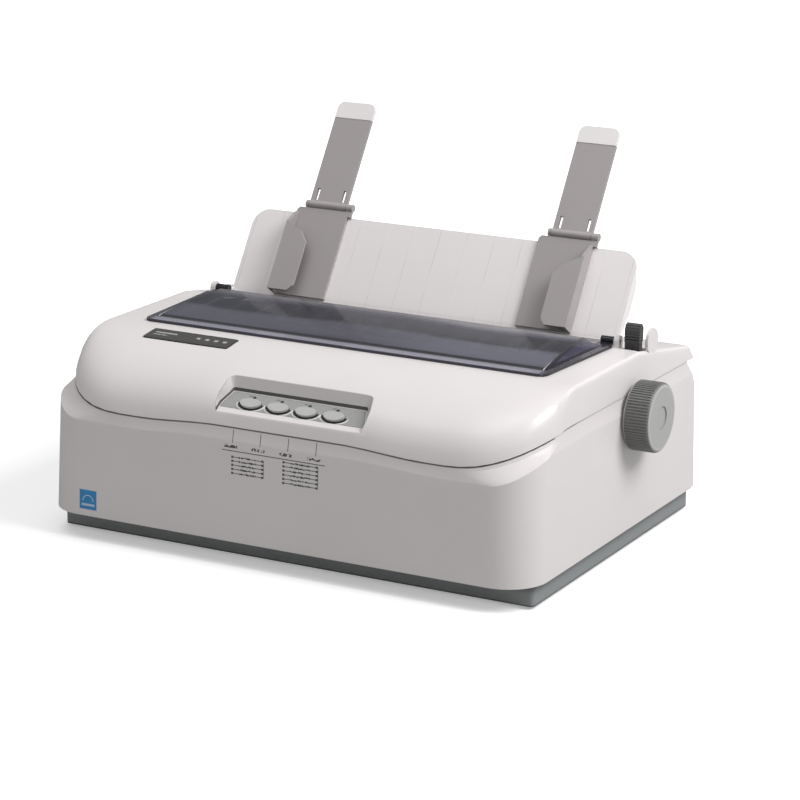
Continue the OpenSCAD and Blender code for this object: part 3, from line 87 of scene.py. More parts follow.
# Chart on the front wall: a long rule, a leader line for each button, and two lists
CHART_RULE_Z, CHART_LEFT, CHART_RIGHT = 78.0, -41.0, 37.0
LEADER_IN, LEADER_FOOT, LEADER_TOP, LEADER_MARK_Z = 7.0, 83.5, 92.0, 81.0
CHART_LISTS = ((-33, -10, 63, 74, 5), (6, 31, 62, 76, 6))  # left, right, foot, top, rows
CHART_DEPTH = 20.0  # nothing further back is printed, so the rear wall stays bare

# Name plate, front label and release lever
PLATE_X, PLATE_Y = -101.5, 60.5
PLATE_RIM_X, PLATE_RIM_Y = 31.8, 7.0
LABEL_X, LABEL_Z, LABEL_HALF = -147.0, 27.0, 7.0
LEVER_GROOVE_Z = 138.0  # level grooves above this height, upright ridges below it
LEVER_RIDGE, LEVER_GROOVE = 3.4, 3.1  # radians of their waves for each millimetre


def place(points):
    """Machine-frame millimetres to row-frame metres."""
    p = np.asarray(points, dtype=float)
    return (p + np.array([-ORIGIN_X, -ORIGIN_Y, FOOT_H])) * MM


# ---------------------------------------------------------------- shader maths
def math_node(operation, swapped=False):
    """A method of Val that adds one Math node; swapped puts the value after its other operand."""
    def method(self, *others):
        return self.combine(operation, *((*others, self) if swapped else (self, *others)))
    return method


class Val:
    """A value in a node tree, with arithmetic that adds Math nodes."""

    def __init__(self, tree, socket):
        self.tree, self.socket = tree, socket

    def combine(self, operation, *values):
        """One Math node's result on values, each a Val or a number."""
        node = self.tree.node("ShaderNodeMath", {"operation": operation}, dict(enumerate(values)))
        return Val(self.tree, node.outputs[0])

    __add__ = __radd__ = math_node("ADD")
    __mul__ = __rmul__ = math_node("MULTIPLY")
    __sub__ = math_node("SUBTRACT")
    __rsub__ = math_node("SUBTRACT", swapped=True)
    __truediv__ = math_node("DIVIDE")
    __rtruediv__ = math_node("DIVIDE", swapped=True)
    __gt__ = math_node("GREATER_THAN")
    __lt__ = math_node("LESS_THAN")
    abs = math_node("ABSOLUTE")
    frac = math_node("FRACT")
    root = math_node("SQRT")
    sin = math_node("SINE")
    most = math_node("MAXIMUM")

    def squared(self):
        """The value times itself."""
        return self * self

    def step(self, lo, hi):
        """0 at lo, 1 at hi, with a smooth rise between; hi may lie below lo."""
        node = self.tree.node("ShaderNodeMapRange", {"interpolation_type": "SMOOTHSTEP"},
                              {"Value": self, "From Min": lo, "From Max": hi})
        return Val(self.tree, node.outputs["Result"])

    def near(self, centre, half, soft):
        """1 within half of centre, fading out over soft."""
        return (self - centre).abs().step(half + soft, half)

    def between(self, lo, hi, soft=0.1):
        """1 from lo to hi, fading out over soft beyond them."""
        return self.near((lo + hi) / 2, (hi - lo) / 2, soft)

    def off_grid(self, pitch):
        """Distance from the nearest multiple of pitch."""
        return ((self / pitch + 0.5).frac() - 0.5).abs() * pitch


def union(*masks):
    """The largest of several masks at each point."""
    return functools.reduce(Val.most, masks)


class Tree:
    """A node tree that is built by calls, one for each node."""

    def __init__(self, tree):
        self.tree = tree

    def own(self, kind):
        """The node of a type that a new tree already holds."""
        return next(n for n in self.tree.nodes if n.type == kind)

    def put(self, node, key, value):
        """A constant, a socket or a Val into one input of a node."""
        if isinstance(value, Val):
            value = value.socket
        if isinstance(value, bpy.types.NodeSocket):
            self.tree.links.new(value, node.inputs[key])
        else:
            node.inputs[key].default_value = value

    def node(self, kind, settings=None, inputs=None):
        """A node of a kind, with its settings made first and then its inputs' values or links."""
        node = self.tree.nodes.new(kind)
        for key, value in (settings or {}).items():
            setattr(node, key, value)
        for key, value in (inputs or {}).items():
            self.put(node, key, value)
        return node


# The Mix node's sockets for colours, which share their names with its sockets for numbers
MIX_FACTOR, MIX_A, MIX_B, MIX_RESULT = 0, 6, 7, 2


class Paint(Tree):
    """A Principled material on object coordinates, built up by calls."""

    def __init__(self, name, color, roughness, **constants):
        self.mat = bpy.data.materials.new(name)
        self.mat.use_nodes = True
        super().__init__(self.mat.node_tree)
        self.bsdf, self.out = self.own("BSDF_PRINCIPLED"), self.own("OUTPUT_MATERIAL")
        self.color = (*color, 1)
        self.normal = None
        self.put(self.bsdf, "Base Color", self.color)
        self.put(self.bsdf, "Roughness", roughness)
        for key, value in constants.items():
            self.put(self.bsdf, key.replace("_", " "), value)
        self.coord = self.node("ShaderNodeTexCoord").outputs["Object"]
        split = self.node("ShaderNodeSeparateXYZ", {}, {0: self.coord})
        x, y, z = (Val(self, split.outputs[i]) * (1 / MM) for i in range(3))
        self.mx, self.my, self.mz = x + ORIGIN_X, y + ORIGIN_Y, z - FOOT_H

    def noise(self, scale, detail=3.0, roughness=0.5, stretch=None):
        """Noise from 0 to 1, of about scale features to the metre, and finer by stretch on each axis."""
        vector = self.coord
        if stretch is not None:
            vector = self.node("ShaderNodeMapping", {}, {"Vector": vector, "Scale": stretch}).outputs[0]
        node = self.node("ShaderNodeTexNoise", {}, {"Vector": vector, "Scale": scale, "Detail": detail,
                                                    "Roughness": roughness})
        return Val(self, node.outputs["Fac"])

    def mix(self, factor, color):
        """The colour so far turns to color by factor."""
        node = self.node("ShaderNodeMix", {"data_type": "RGBA"},
                         {MIX_FACTOR: factor, MIX_A: self.color, MIX_B: (*color, 1)})
        self.color = node.outputs[MIX_RESULT]
        self.put(self.bsdf, "Base Color", self.color)

    def rough(self, value):
        """Roughness that changes over the surface."""
        self.put(self.bsdf, "Roughness", value)

    def bump(self, height, strength, distance):
        """Relief of a height that changes over the surface, on top of the relief so far."""
        inputs = {"Height": height, "Strength": strength, "Distance": distance}
        if self.normal is not None:
            inputs["Normal"] = self.normal
        self.normal = self.node("ShaderNodeBump", {}, inputs).outputs["Normal"]
        self.put(self.bsdf, "Normal", self.normal)

    def soft_edges(self, radius):
        """Edges catch the light as if rounded by radius."""
        self.normal = self.node("ShaderNodeBevel", {"samples": 4}, {"Radius": radius}).outputs["Normal"]
        self.put(self.bsdf, "Normal", self.normal)

    def on_panel(self):
        """Distance across, up along and out from the control panel's sloping plane."""
        y, z = self.my - PANEL_Y, self.mz - PANEL_Z
        c, s = math.cos(PANEL_SLOPE), math.sin(PANEL_SLOPE)
        return self.mx - PANEL_X, y * c + z * s, z * c - y * s


def shade(color, by):
    """A colour with each channel multiplied by one number."""
    return tuple(c * by for c in color)


# ---------------------------------------------------------------- materials
def moulded(name, color, roughness=0.45, grain=0.1, tint=0.04, edge=0.0003, **constants):
    """Moulded plastic: fine spark-eroded grain, faint mottling and slightly uneven gloss. edge is
    the radius in metres by which its edges look rounded, or 0 where they stay as they are."""
    p = Paint(name, color, roughness, **constants)
    if edge:
        p.soft_edges(edge)
    p.mix(p.noise(9.0, 4.0, 0.6).step(0.35, 0.75), shade(color, 1 - tint))
    p.mix((p.noise(1300.0, 2.0) > 0.64) * 0.3, shade(color, 1 - 1.5 * tint))
    p.rough(p.noise(40.0) * 0.16 + (roughness - 0.08))
    p.bump(p.noise(1800.0, 2.0, 0.6), grain, 0.0002)
    return p


def metal(name, color, roughness, stretch=(1, 30, 30)):
    """Bare or plated metal: streaks, along x unless stretch turns them, and a slightly cloudy
    reflection."""
    p = Paint(name, color, roughness, Metallic=1.0)
    streak = p.noise(60.0, 4.0, 0.6, stretch)
    p.mix(streak.step(0.4, 0.8), shade(color, 0.86))
    p.rough(p.noise(25.0, 4.0, 0.6) * 0.2 + (roughness - 0.1))
    p.bump(streak, 0.1, 0.0001)
    return p


def circuit(name, color):
    """Circuit board: lacquer over fine tracks, with solder spots on a grid of tenths of an inch."""
    grid = 2.54
    p = Paint(name, color, 0.35)
    across = ((p.mx / grid).frac() - 0.5).abs()
    along = ((p.my / grid).frac() - 0.5).abs()
    p.mix((along < 0.14) * (p.noise(70.0, 1.0) > 0.5), shade(color, 1.7))
    p.mix((across < 0.15) * (along < 0.15) * (p.noise(45.0, 1.0) > 0.52), (0.55, 0.55, 0.52))
    p.rough(p.noise(60.0) * 0.2 + 0.25)
    return p


def seam_height(p):
    """Height of the seam along the front and the sides, by the rule of the part's source: at the
    front it falls by SEAM_DIP towards SEAM_WAVE_X, and past SEAM_CLIMB_X it climbs to SEAM_Z over
    SEAM_CLIMB_L, counted across and back together. At the rear the part's seam is level at SEAM_Z
    right across, but here it stays low between SEAM_CLIMB_X on each side."""
    side = p.mx.abs()
    climb = ((side - SEAM_CLIMB_X).most(0) + p.my.most(0)).step(0, SEAM_CLIMB_L) * (side > SEAM_CLIMB_X)
    front = FRONT_SEAM_Z - side.step(SEAM_WAVE_X - SEAM_WAVE_W, SEAM_WAVE_X) * SEAM_DIP
    return front + climb * (SEAM_Z - front)


def chart(p):
    """Ink of the front wall's chart: a long rule, a leader line over a broken mark for each button,
    and two lists. Each row of a list is a fine rule with a broken mark on it and a dot at each end,
    and an upright rule stands right of the rows. No words are printed."""
    soft = 0.2
    masks = [p.mz.near(CHART_RULE_Z, 0.2, soft) * p.mx.between(CHART_LEFT, CHART_RIGHT)]
    for i in range(BUTTONS):
        x = PANEL_X + BUTTON_SHIFT + (i - (BUTTONS - 1) / 2) * BUTTON_PITCH - LEADER_IN
        mark = p.mx.between(x - 6.4, x + 3.6) * p.mz.near(LEADER_MARK_Z, 0.95, soft)
        masks.append(p.mx.near(x, 0.15, soft) * p.mz.between(LEADER_FOOT, LEADER_TOP))
        masks.append(mark * (p.noise(650.0, 1.0) > 0.46))
    for left, right, foot, top, rows in CHART_LISTS:
        row = (p.mz - foot).off_grid((top - foot) / (rows - 1))
        inside = p.mz.between(foot - 0.8, top + 0.8)
        mark = row.near(0, 0.6, soft) * inside * p.mx.between(left + 5, right - 5)
        masks.append(row.near(0, 0.16, soft) * inside * p.mx.between(left, right))
        masks.append(mark * (p.noise(750.0, 1.0) > 0.5))
        for end in (left, right):
            masks.append(row.near(0, 0.7, soft) * inside * p.mx.near(end, 0.7, soft))
        masks.append(p.mx.near(right + 0.9, 0.12, 0.15) * p.mz.between(foot, top))
    return union(*masks)


def body_plastic(name, color):
    """The body's cream plastic with the chart on its front wall, and painted shade above about 1 mm
    below seam_height, standing in for the cover's shadow over the seam, more so at the front. At the
    rear that takes in the middle of the shoulder."""
    p = moulded(name, color)
    seam_shade = (p.my < SEAM_FRONT_DEPTH) * 0.6 + 0.25
    # painted shade: the cover's shadow over the seam, stronger within SEAM_FRONT_DEPTH of the front
    p.mix((p.mz - seam_height(p)).step(-1.3, -0.8) * seam_shade, shade(color, 0.08))
    p.mix(chart(p) * (p.my < CHART_DEPTH) * 0.92, (0.03, 0.03, 0.033))
    return p


def cover_plastic(name, color):
    """The cover's cream plastic, with painted shade on the control panel recess's bevelled walls and a
    painted shadow in the gap where they meet the plate. The recess's outline is about that of the
    part's source at the height h over the panel, and leeway keeps the whole wall within it."""
    leeway = 0.5
    p = moulded(name, color, 0.33, tint=0.03, edge=0)
    u, v, h = p.on_panel()
    radius = h * PANEL_CORNER_FLARE + PANEL_CORNER_R
    length = h * PANEL_BACK_FLARE + (PANEL_LEN - PANEL_STRAIGHT)
    slant = (v - PANEL_STRAIGHT).most(0) * PANEL_SLANT / length
    across = u.abs() + slant - h * PANEL_SIDE_FLARE - PANEL_HW
    behind = v - h * PANEL_BACK_FLARE - PANEL_LEN
    corner = (across + radius).most(0).squared() + (behind + radius).most(0).squared()
    inside = (across < leeway) * (behind < leeway) * (corner < (radius + leeway).squared())
    wall = inside * (h > 0.1) * (v > -10)
    # painted shade on the recess's bevelled walls
    p.mix(wall * 0.75, shade(color, 0.62))
    # painted shadow at the foot of the rear and left walls, where they meet the plate
    gap = (h < 1.5) * (v > PANEL_LEN - 1).most(u < 0)
    p.mix(wall * gap * 0.9, (0.02, 0.02, 0.02))
    return p


def support_plastic(name, color):
    """The sheet support's plastic with its fine, partly worn upright scale lines."""
    p = moulded(name, color, 0.42)
    off_line = p.mx.off_grid(SCALE_PITCH)
    worn = p.noise(35.0, 2.0).step(0.35, 0.65)
    p.mix(off_line.near(0, 0.16, 0.25) * worn * 0.35, shade(color, 0.55))
    p.bump(off_line.near(0, 0.2, 0.4), 0.2, 0.0003)
    return p


def panel_plastic(name, color):
    """The control panel's plate: fine dark stipple, a short dark bar behind each button, and round
    each button's front a painted shadow in and beyond the gap, inside a pale line. The button's
    outline there is the ellipse (across / BUTTON_HW)^2 + ((v - BUTTON_V) / BUTTON_FRONT)^2 = 1, and
    ring is about the distance from it."""
    p = moulded(name, color, 0.5, 0.18, 0.06)
    p.mix((p.noise(700.0, 2.0, 0.6) > 0.6) * 0.35, shade(color, 0.72))
    u, v = p.on_panel()[:2]
    across = (((u - BUTTON_SHIFT) / BUTTON_PITCH).frac() - 0.5) * BUTTON_PITCH
    among = (u - BUTTON_SHIFT).abs() < BUTTON_PITCH * BUTTONS / 2
    p.mix(across.between(-4.6, -1.8) * v.near(13.4, 0.35, 0.2) * among * 0.7, shade(color, 0.3))
    oval = (across / BUTTON_HW).squared() + ((v - BUTTON_V) / BUTTON_FRONT).squared()
    ring = (oval.root() - 1) * BUTTON_MEAN_R
    front = (v < BUTTON_V) * among
    p.mix(ring.near(1.9, 0.35, 0.25) * front * 0.85, (0.85, 0.85, 0.85))
    # painted shadow: a near black ring in and beyond the gap round each button's front
    p.mix(ring.near(0.6, 0.75, 0.2) * front * 0.95, (0.012, 0.012, 0.012))
    return p


def button_plastic(name, color):
    """A button's plastic, with painted shade making it near black on its skirt."""
    p = moulded(name, color, 0.4, edge=0.0007)
    height = p.on_panel()[2]
    # painted shade on the skirt, low where the button meets the plate
    p.mix(height.step(0.55, 0.35) * 0.9, shade(color, 0.06))
    return p


def knob_plastic(name, color):
    """The feed knob's plastic: a pale turned face with a ribbed grip darkened by painted shade, a paler
    ring near the face's edge and a faint painted shadow round the dimple."""
    p = moulded(name, color, 0.42, edge=0.0004)
    r = ((p.my - KNOB_Y).squared() + (p.mz - KNOB_Z).squared()).root()
    # painted shade on the ribbed grip
    p.mix(r.step(KNOB_R - 1.6, KNOB_R - 1.0) * 0.85, shade(color, 0.32))
    p.mix(r.near(KNOB_R - 2.6, 0.3, 0.6) * 0.5, shade(color, 1.35))
    p.mix(r.near(DIMPLE_R - 0.4, 0.2, 0.5) * 0.35, shade(color, 0.6))
    return p


def tray_plastic(name, color):
    """The tray's gray plastic, darker in the body's shadow gap above and at its foot."""
    p = moulded(name, color, 0.38)
    shadow = p.mz.step(7.0, BASE_H - 1).most(p.mz.step(1.4, 0.6))
    p.mix(shadow * 0.75, shade(color, 0.25))
    return p


def plate_plastic(name, color):
    """The bare name plate: satin black with a darker rim and generic pale bars, a long one over a
    shorter one at the left and four small squares at the right."""
    p = moulded(name, color, 0.3, 0.05)
    x, y = p.mx - PLATE_X, p.my - PLATE_Y
    long_bar = y.near(2.2, 0.8, 0.2) * x.between(-29, -12)
    short_bar = y.near(-1.6, 0.5, 0.2) * x.between(-29, -12) * (x < -18)
    squares = [x.near(6 + 7 * i, 1.4, 0.2) * y.near(0.6, 1.4, 0.2) for i in range(4)]
    worn = p.noise(1200.0, 2.0, 0.6) > 0.42
    p.mix(union(long_bar, short_bar, *squares) * worn * 0.8, (0.6, 0.6, 0.58))
    rim = x.abs().step(PLATE_RIM_X, PLATE_RIM_X + 0.4).most(y.abs().step(PLATE_RIM_Y, PLATE_RIM_Y + 0.3))
    p.mix(rim * 0.5, shade(color, 0.3))
    return p


def smoked(name):
    """Smoked clear plastic: violet-blue, glossy and see-through. Its front flange is thin and pale.
    The slope behind it has a paler band, a darker band, a pale strip by the ridge and faint upright
    lines, and darkens towards the left. Its folds, hips and rim are darker by painted shade, standing
    in for the darker look where more plastic lies in the line of sight. back is the distance behind
    the front edge, rise goes from 0 at the flange to 1 at the ridge, and foot_x and hip_x are half the
    width at the raised top's foot and between its hips."""
    p = Paint(name, (0.15, 0.15, 0.19), 0.12, IOR=1.49)
    p.rough(p.noise(30.0) * 0.08 + 0.07)
    p.bump(p.noise(14.0, 2.0), 0.02, 0.001)
    back = p.my - LID_Y
    side = p.mx.abs()
    rise = (back - LID_FLANGE) / (LID_D - LID_RIDGE_IN - LID_FLANGE)
    foot_x = back * ((LID_REAR_HW - LID_FRONT_HW) / LID_D) + (LID_FRONT_HW - LID_EDGE)
    hip_x = foot_x - rise * HIP_LEAN
    slope = (rise > 0) * (side < foot_x)

    # The slope's bands from the front to the ridge, with uneven edges, its lines and its darker left
    level = rise + (p.noise(9.0) * 0.3 - 0.15)
    p.mix(level.between(0.10, 0.38, 0.12) * slope * 0.8, (0.24, 0.24, 0.29))
    p.mix(level.between(0.50, 0.76, 0.12) * slope * 0.9, (0.035, 0.04, 0.05))
    p.mix(level.step(0.84, 0.95) * slope * 0.7, (0.48, 0.47, 0.47))
    lines = p.mx.off_grid(SCALE_PITCH).near(0, 0.3, 0.5)
    p.mix(lines * rise.between(0.3, 0.8, 0.1) * 0.35, (0.4, 0.4, 0.44))
    p.mix(p.mx.step(90, -10) * slope * 0.4, (0.035, 0.035, 0.05))

    # The hips, darker by painted shade, and the flange
    hip = slope * (side - hip_x).step(0, 0.4)
    p.mix(hip * 0.85, (0.055, 0.05, 0.09))
    flange = back.between(1.6, LID_FLANGE - 1.2, 0.6) * (side < foot_x)
    p.mix(flange * 0.85, (0.66, 0.65, 0.76))

    # Painted shade in lines where the plastic folds or ends, and a painted glint inside each hip
    fold = back.near(LID_FLANGE + 1.2, 1.9, 0.8) * (side < foot_x)
    crease = (side - hip_x).near(0, 0.9, 0.7) * slope
    foot = (side - foot_x).near(0, 0.9, 0.7) * (rise > 0)
    rim = union(back.step(1.2, 0.5), (foot_x + LID_EDGE - side).step(2.4, 1.4),
                back.step(LID_D - 1.4, LID_D - 0.6))
    dark = union(fold, crease * 0.95, foot, rim * 0.95)
    p.mix(dark, (0.015, 0.015, 0.022))
    glint = (side - hip_x).near(-1.3, 0.25, 0.3) * slope * rise.step(0.3, 0.05)
    p.mix(glint * 0.7, (0.8, 0.8, 0.82))

    see = p.node("ShaderNodeBsdfTransparent", {}, {"Color": (0.72, 0.72, 0.82, 1)})
    share = (0.55 + hip * 0.2 - flange * 0.1).most(dark * 0.97)
    mixer = p.node("ShaderNodeMixShader", {}, {0: share, 1: see.outputs[0], 2: p.bsdf.outputs[0]})
    p.put(p.out, "Surface", mixer.outputs[0])
    return p


def lever_plastic(name, color):
    """The release lever: upright ridges below, level grooves above, each a sine wave, with painted
    shade in the wave's troughs.
    """
    p = moulded(name, color, 0.5)
    low = p.mz < LEVER_GROOVE_Z
    wave = (p.mx * LEVER_RIDGE).sin() * low + (p.mz * LEVER_GROOVE).sin() * (1 - low)
    # painted shade in the troughs of the ridges and grooves
    p.mix(wave.step(0.2, -0.6) * 0.6, shade(color, 0.45))
    p.bump(wave, 0.5, 0.0006)
    return p


def rubber(name, color):
    """Ground rubber: matt, with fine rings round the roller."""
    p = Paint(name, color, 0.75)
    rings = p.noise(30.0, 3.0, 0.6, stretch=(40, 1, 1))
    p.mix(rings.step(0.4, 0.7), shade(color, 1.5))
    p.rough(p.noise(80.0) * 0.2 + 0.6)
    p.bump(rings, 0.2, 0.0002)
    return p


def label_plastic(name, color):
    """The front label: mottled blue with a plain pale bar under a pale arc, and a paler rim. The arc
    is the upper half of a ring round a point 1 mm below the label's middle, where the squared
    distance from that point is near 17 mm^2."""
    p = Paint(name, color, 0.3)
    p.mix(p.noise(60.0).step(0.3, 0.8), (0.03, 0.26, 0.57))
    x, z = p.mx - LABEL_X, p.mz - LABEL_Z
    bar = z.between(-4.4, -2.8) * x.between(-5.2, 5.2)
    arc = (x.squared() + (z + 1).squared()).near(17, 2.4, 0.8) * (z > -1)
    p.mix(bar.most(arc) * 0.75, (0.62, 0.72, 0.82))
    edge = x.abs().most(z.abs())
    p.mix(edge.step(LABEL_HALF - 0.5, LABEL_HALF - 0.3) * 0.5, (0.55, 0.66, 0.78))
    p.rough(p.noise(90.0, 2.0) * 0.12 + 0.26)
    return p


def assign(paint, *names):
    """The paint becomes the one material of each named node."""
    for name in names:
        mesh = NODES[name].data
        mesh.materials.clear()
        mesh.materials.append(paint.mat)


support_cream = support_plastic("support_cream", (0.90, 0.86, 0.86))
assign(cover_plastic("cover_cream", (0.79, 0.755, 0.75)), "top_cover")
assign(body_plastic("body_cream", (0.75, 0.715, 0.71)), "body_shell")
assign(tray_plastic("tray_gray", (0.27, 0.285, 0.29)), "base_tray")
assign(rubber("foot_rubber", (0.02, 0.02, 0.02)), "rubber_feet")
assign(metal("zinc", (0.62, 0.63, 0.64), 0.4), "screws", "chassis_pan", "left_side_frame",
       "right_side_frame", "front_rail", "paper_pan", "interface_port")
assign(metal("ground_steel", (0.74, 0.74, 0.75), 0.2), "guide_rod", "platen_shaft", "tractor_shaft",
       "tractor_rod", "paper_bail", "left_arm_pin", "right_arm_pin", "feed_pinion")
assign(moulded("black_plastic", (0.03, 0.03, 0.033)), "power_inlet", "switch_housing",
       "power_switch", "left_tractor", "right_tractor", "ribbon_cartridge", "carriage")
assign(plate_plastic("name_plate_black", (0.05, 0.048, 0.046)), "name_plate")
assign(smoked("smoke"), "smoked_lid")
assign(panel_plastic("panel_gray", (0.36, 0.36, 0.35)), "control_panel")
assign(button_plastic("button_gray", (0.50, 0.50, 0.49)), *(f"button_{i + 1}" for i in range(BUTTONS)))
assign(circuit("board_green", (0.02, 0.11, 0.045)), "panel_board", "main_board")
assign(circuit("board_tan", (0.30, 0.18, 0.07)), "power_board")
assign(moulded("lamp", (0.06, 0.08, 0.06), 0.2, edge=0), "indicator_lamps")
assign(support_cream, "paper_support")
assign(moulded("tip_cream", (0.88, 0.85, 0.845), 0.42), "left_tip", "right_tip")
assign(moulded("guide_gray", (0.41, 0.38, 0.378)), "left_guide", "right_guide", "left_arm",
       "right_arm")
assign(lever_plastic("lever_gray", (0.07, 0.07, 0.073)), "release_lever")
assign(knob_plastic("knob_gray", (0.42, 0.42, 0.415)), "platen_knob")
assign(rubber("platen_rubber", (0.035, 0.035, 0.038)), "platen_roller", "pressure_rollers",
       "bail_rollers", "carriage_belt")
assign(moulded("acetal", (0.78, 0.75, 0.68), 0.35), "platen_gear", "idler_gear", "drive_pulley",
       "idler_pulley")
assign(metal("bronze", (0.45, 0.28, 0.12), 0.45), "bushes")
assign(moulded("motor_black", (0.03, 0.03, 0.033), 0.35, Metallic=0.4), "feed_motor", "carriage_motor")
assign(metal("head_alloy", (0.45, 0.46, 0.47), 0.45), "print_head")
assign(moulded("ink_fabric", (0.012, 0.012, 0.016), 0.8, 0.4, edge=0), "ribbon")
assign(metal("laminations", (0.16, 0.15, 0.13), 0.5, stretch=(1, 1, 40)), "transformer")


# ---------------------------------------------------------------- smooth shading of the shells
# Nodes that are shaded as curved surfaces, by the angle in degrees below which their faces blend
SMOOTHED = {13: ("body_shell",), 24: ("top_cover", "smoked_lid", "platen_knob", "paper_support")}
WELD = 1e-6  # metres


def smooth_group(limit):
    """Joins the mesh's split corners and shades faces as one curved surface where they meet at
    less than limit, so that only real edges stay sharp."""
    group = bpy.data.node_groups.new("smooth_shell", "GeometryNodeTree")
    for side in ("INPUT", "OUTPUT"):
        group.interface.new_socket("Geometry", in_out=side, socket_type="NodeSocketGeometry")
    nodes = Tree(group)
    mesh = nodes.node("NodeGroupInput").outputs[0]
    welded = nodes.node("GeometryNodeMergeByDistance", {}, {"Geometry": mesh, "Distance": WELD}).outputs[0]
    faces = nodes.node("GeometryNodeSetShadeSmooth", {}, {"Geometry": welded}).outputs[0]
    angle = nodes.node("GeometryNodeInputMeshEdgeAngle").outputs[0]
    gentle = nodes.node("FunctionNodeCompare", {"data_type": "FLOAT", "operation": "LESS_THAN"},
                        {0: angle, 1: limit}).outputs[0]
    edges = nodes.node("GeometryNodeSetShadeSmooth", {"domain": "EDGE"},
                       {"Geometry": faces, "Shade Smooth": gentle}).outputs[0]
    nodes.node("NodeGroupOutput", {}, {0: edges})
    return group


for degrees, names in SMOOTHED.items():
    smoothing = smooth_group(math.radians(degrees))
    for name in names:
        NODES[name].modifiers.new("smooth", "NODES").node_group = smoothing
        NODES[name].modifiers.new("weighted", "WEIGHTED_NORMAL").keep_sharp = True


# ---------------------------------------------------------------- thin pieces of the scene
def surface(name, grid, paint, body):
    """A mesh over a grid of points, rows by columns by 3 in machine mm, that rides on a CAD body."""
    rows, cols = grid.shape[:2]
    n = np.arange(rows * cols).reshape(rows, cols)
    quads = np.stack([n[:-1, :-1], n[:-1, 1:], n[1:, 1:], n[1:, :-1]], axis=-1)
    mesh = bpy.data.meshes.new(name)
    mesh.from_pydata(place(grid.reshape(-1, 3)).tolist(), [], quads.reshape(-1, 4).tolist())
    mesh.shade_smooth()
    mesh.materials.append(paint.mat)
    obj = bpy.data.objects.new(name, mesh)
    bpy.context.collection.objects.link(obj)
    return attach(obj, body)


def front_label():
    """A thin label on the front wall's lower left. Its face follows the wall's lean,
    y = draft (z - base) - lift, and its rim folds back to the wall: the lift falls as
    (1 - e^6) with e the larger of the two normalised distances from the label's middle."""
    steps = np.linspace(-1, 1, 29)
    u, v = np.meshgrid(steps, steps)
    e = np.maximum(np.abs(u), np.abs(v))
    x, z = LABEL_X + LABEL_HALF * u, LABEL_Z + LABEL_HALF * v
    lift = 0.09 * (1 - e ** 6) + 0.01
    grid = np.stack([x, DRAFT * (z - BASE_H) - lift, z], axis=-1)
    surface("front_label", grid, label_plastic("label_blue", (0.02, 0.22, 0.52)), "printer")


def support_face():
    """The sheet support's printed front skin, SKIN_PROUD before the plate. At height h along the
    plate its half width is W, less r - sqrt(r^2 - (h - (L - r))^2) within the top corners' radius r.
    A point h along the plate lies h sin(tilt) back and h cos(tilt) up from the support's pivot."""
    straight = SUPPORT_LEN - SUPPORT_R
    h = np.concatenate([np.linspace(SKIN_FOOT, straight, 12),
                        straight + SUPPORT_R * np.sin(np.linspace(0.1, 1.45, 12))])
    over = np.clip(h - straight, 0, SUPPORT_R)
    half = SUPPORT_HW - SKIN_MARGIN - (SUPPORT_R - np.sqrt(SUPPORT_R ** 2 - over ** 2))
    u = np.linspace(-1, 1, 41)
    along = np.repeat(h[:, None], len(u), axis=1)
    c, s = math.cos(SUPPORT_TILT), math.sin(SUPPORT_TILT)
    y = SUPPORT_Y - SKIN_PROUD * c + along * s
    z = SUPPORT_Z + SKIN_PROUD * s + along * c
    surface("support_face", np.stack([half[:, None] * u, y, z], axis=-1), support_cream, "support")


front_label()
support_face()

# ---------------------------------------------------------------- camera, floor and light
IMAGE_PX, FOCAL_PX = 800, 2917.9
YAW, PITCH, ROLL = math.radians(27.76), math.radians(15.2), math.radians(-0.71)
CAMERA_AT = (925.2, -1582.3, 616.3)  # machine mm

# The floor and the lamps are in the row frame's metres
FLOOR_HALF = 6.0
LAMPS_AIM = (0, 0, 0.07)
WORLD_LEVEL, FLOOR_GLOW, FAR_GLOW = 0.35, 0.34, 0.5
NEAR_SQUARED, FAR_SQUARED = 1.5e5, 6e5  # squared distances in mm^2 between which the far glow sets in


def put_at(obj, right, up, back, at):
    """Links an object with its own axes turned to right, up and back, and its place at a point."""
    m = np.eye(4)
    m[:3, 0], m[:3, 1], m[:3, 2], m[:3, 3] = right, up, back, at
    bpy.context.collection.objects.link(obj)
    obj.matrix_world = Matrix(m.tolist())


def make_camera():
    """The photo's camera: turned by YAW to the left, down by PITCH and about its view by ROLL."""
    right = np.array([math.cos(YAW), math.sin(YAW), 0.0])
    ahead = np.array([-math.sin(YAW) * math.cos(PITCH), math.cos(YAW) * math.cos(PITCH), -math.sin(PITCH)])
    down = np.cross(ahead, right)
    c, s = math.cos(ROLL), math.sin(ROLL)
    right, down = c * right + s * down, -s * right + c * down
    camera = bpy.data.cameras.new("camera")
    camera.sensor_width = 36
    camera.lens = FOCAL_PX / IMAGE_PX * camera.sensor_width
    camera.clip_end = 20
    obj = bpy.data.objects.new("camera", camera)
    put_at(obj, right, -down, -ahead, place(CAMERA_AT))
    bpy.context.scene.camera = obj


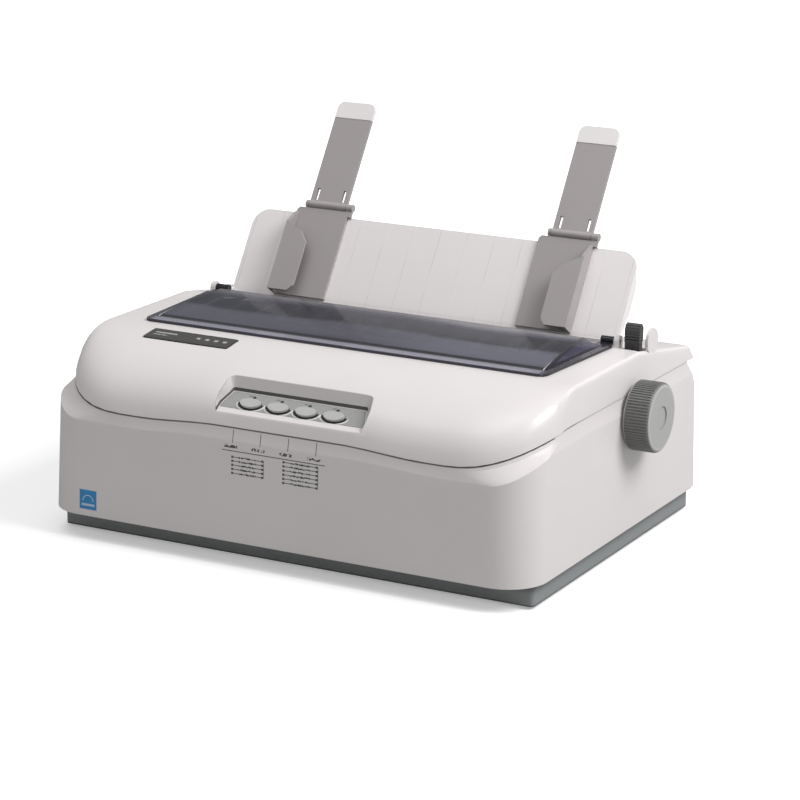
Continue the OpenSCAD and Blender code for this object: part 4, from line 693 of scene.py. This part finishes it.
def make_floor():
    """A plain pale floor: white to the camera, with the object's shadow, and duller to other rays,
    so that it throws less light up at the walls. What the camera sees of it glows, and more so
    far from the object."""
    mesh = bpy.data.meshes.new("floor")
    corners = [(x * FLOOR_HALF, y * FLOOR_HALF, 0) for x, y in ((-1, -1), (1, -1), (1, 1), (-1, 1))]
    mesh.from_pydata(corners, [], [(0, 1, 2, 3)])
    floor = bpy.data.objects.new("floor", mesh)
    bpy.context.collection.objects.link(floor)
    p = Paint("floor_white", (0.5, 0.5, 0.5), 0.9, Specular_IOR_Level=0.0)
    seen = Val(p, p.node("ShaderNodeLightPath").outputs["Is Camera Ray"])
    p.mix(seen, (0.93, 0.93, 0.93))
    far = (p.mx.squared() + p.my.squared()).step(NEAR_SQUARED, FAR_SQUARED)
    glow = p.node("ShaderNodeEmission", {}, {"Color": (1, 1, 1, 1),
                                             "Strength": seen * (far * FAR_GLOW + FLOOR_GLOW)})
    both = p.node("ShaderNodeAddShader", {}, {0: p.bsdf.outputs[0], 1: glow.outputs[0]})
    p.put(p.out, "Surface", both.outputs[0])
    mesh.materials.append(p.mat)


def make_world():
    """White to the camera, and a dimmer even light for everything else."""
    world = bpy.data.worlds.new("world")
    bpy.context.scene.world = world
    world.use_nodes = True
    nodes = Tree(world.node_tree)
    seen = nodes.node("ShaderNodeLightPath").outputs["Is Camera Ray"]
    level = nodes.node("ShaderNodeMapRange", {}, {"Value": seen, "To Min": WORLD_LEVEL, "To Max": 1.0})
    back = nodes.own("BACKGROUND")
    nodes.put(back, "Color", (1, 1, 1, 1))
    nodes.put(back, "Strength", level.outputs["Result"])


def area_light(name, at, size, power):
    """A square lamp at a point, turned to the printer's middle."""
    data = bpy.data.lights.new(name, "AREA")
    data.shape, data.size, data.energy = "SQUARE", size, power
    ahead = np.array(LAMPS_AIM) - at
    ahead /= np.linalg.norm(ahead)
    right = np.cross(ahead, (0, 0, 1.0))
    right /= np.linalg.norm(right)
    put_at(bpy.data.objects.new(name, data), right, np.cross(right, ahead), -ahead, at)


bpy.context.scene.view_settings.view_transform = "Standard"
make_camera()
make_floor()
make_world()
area_light("key", at=(1.6, 0.15, 1.7), size=1.2, power=40)
area_light("top", at=(-0.2, -0.5, 2.3), size=1.4, power=14)
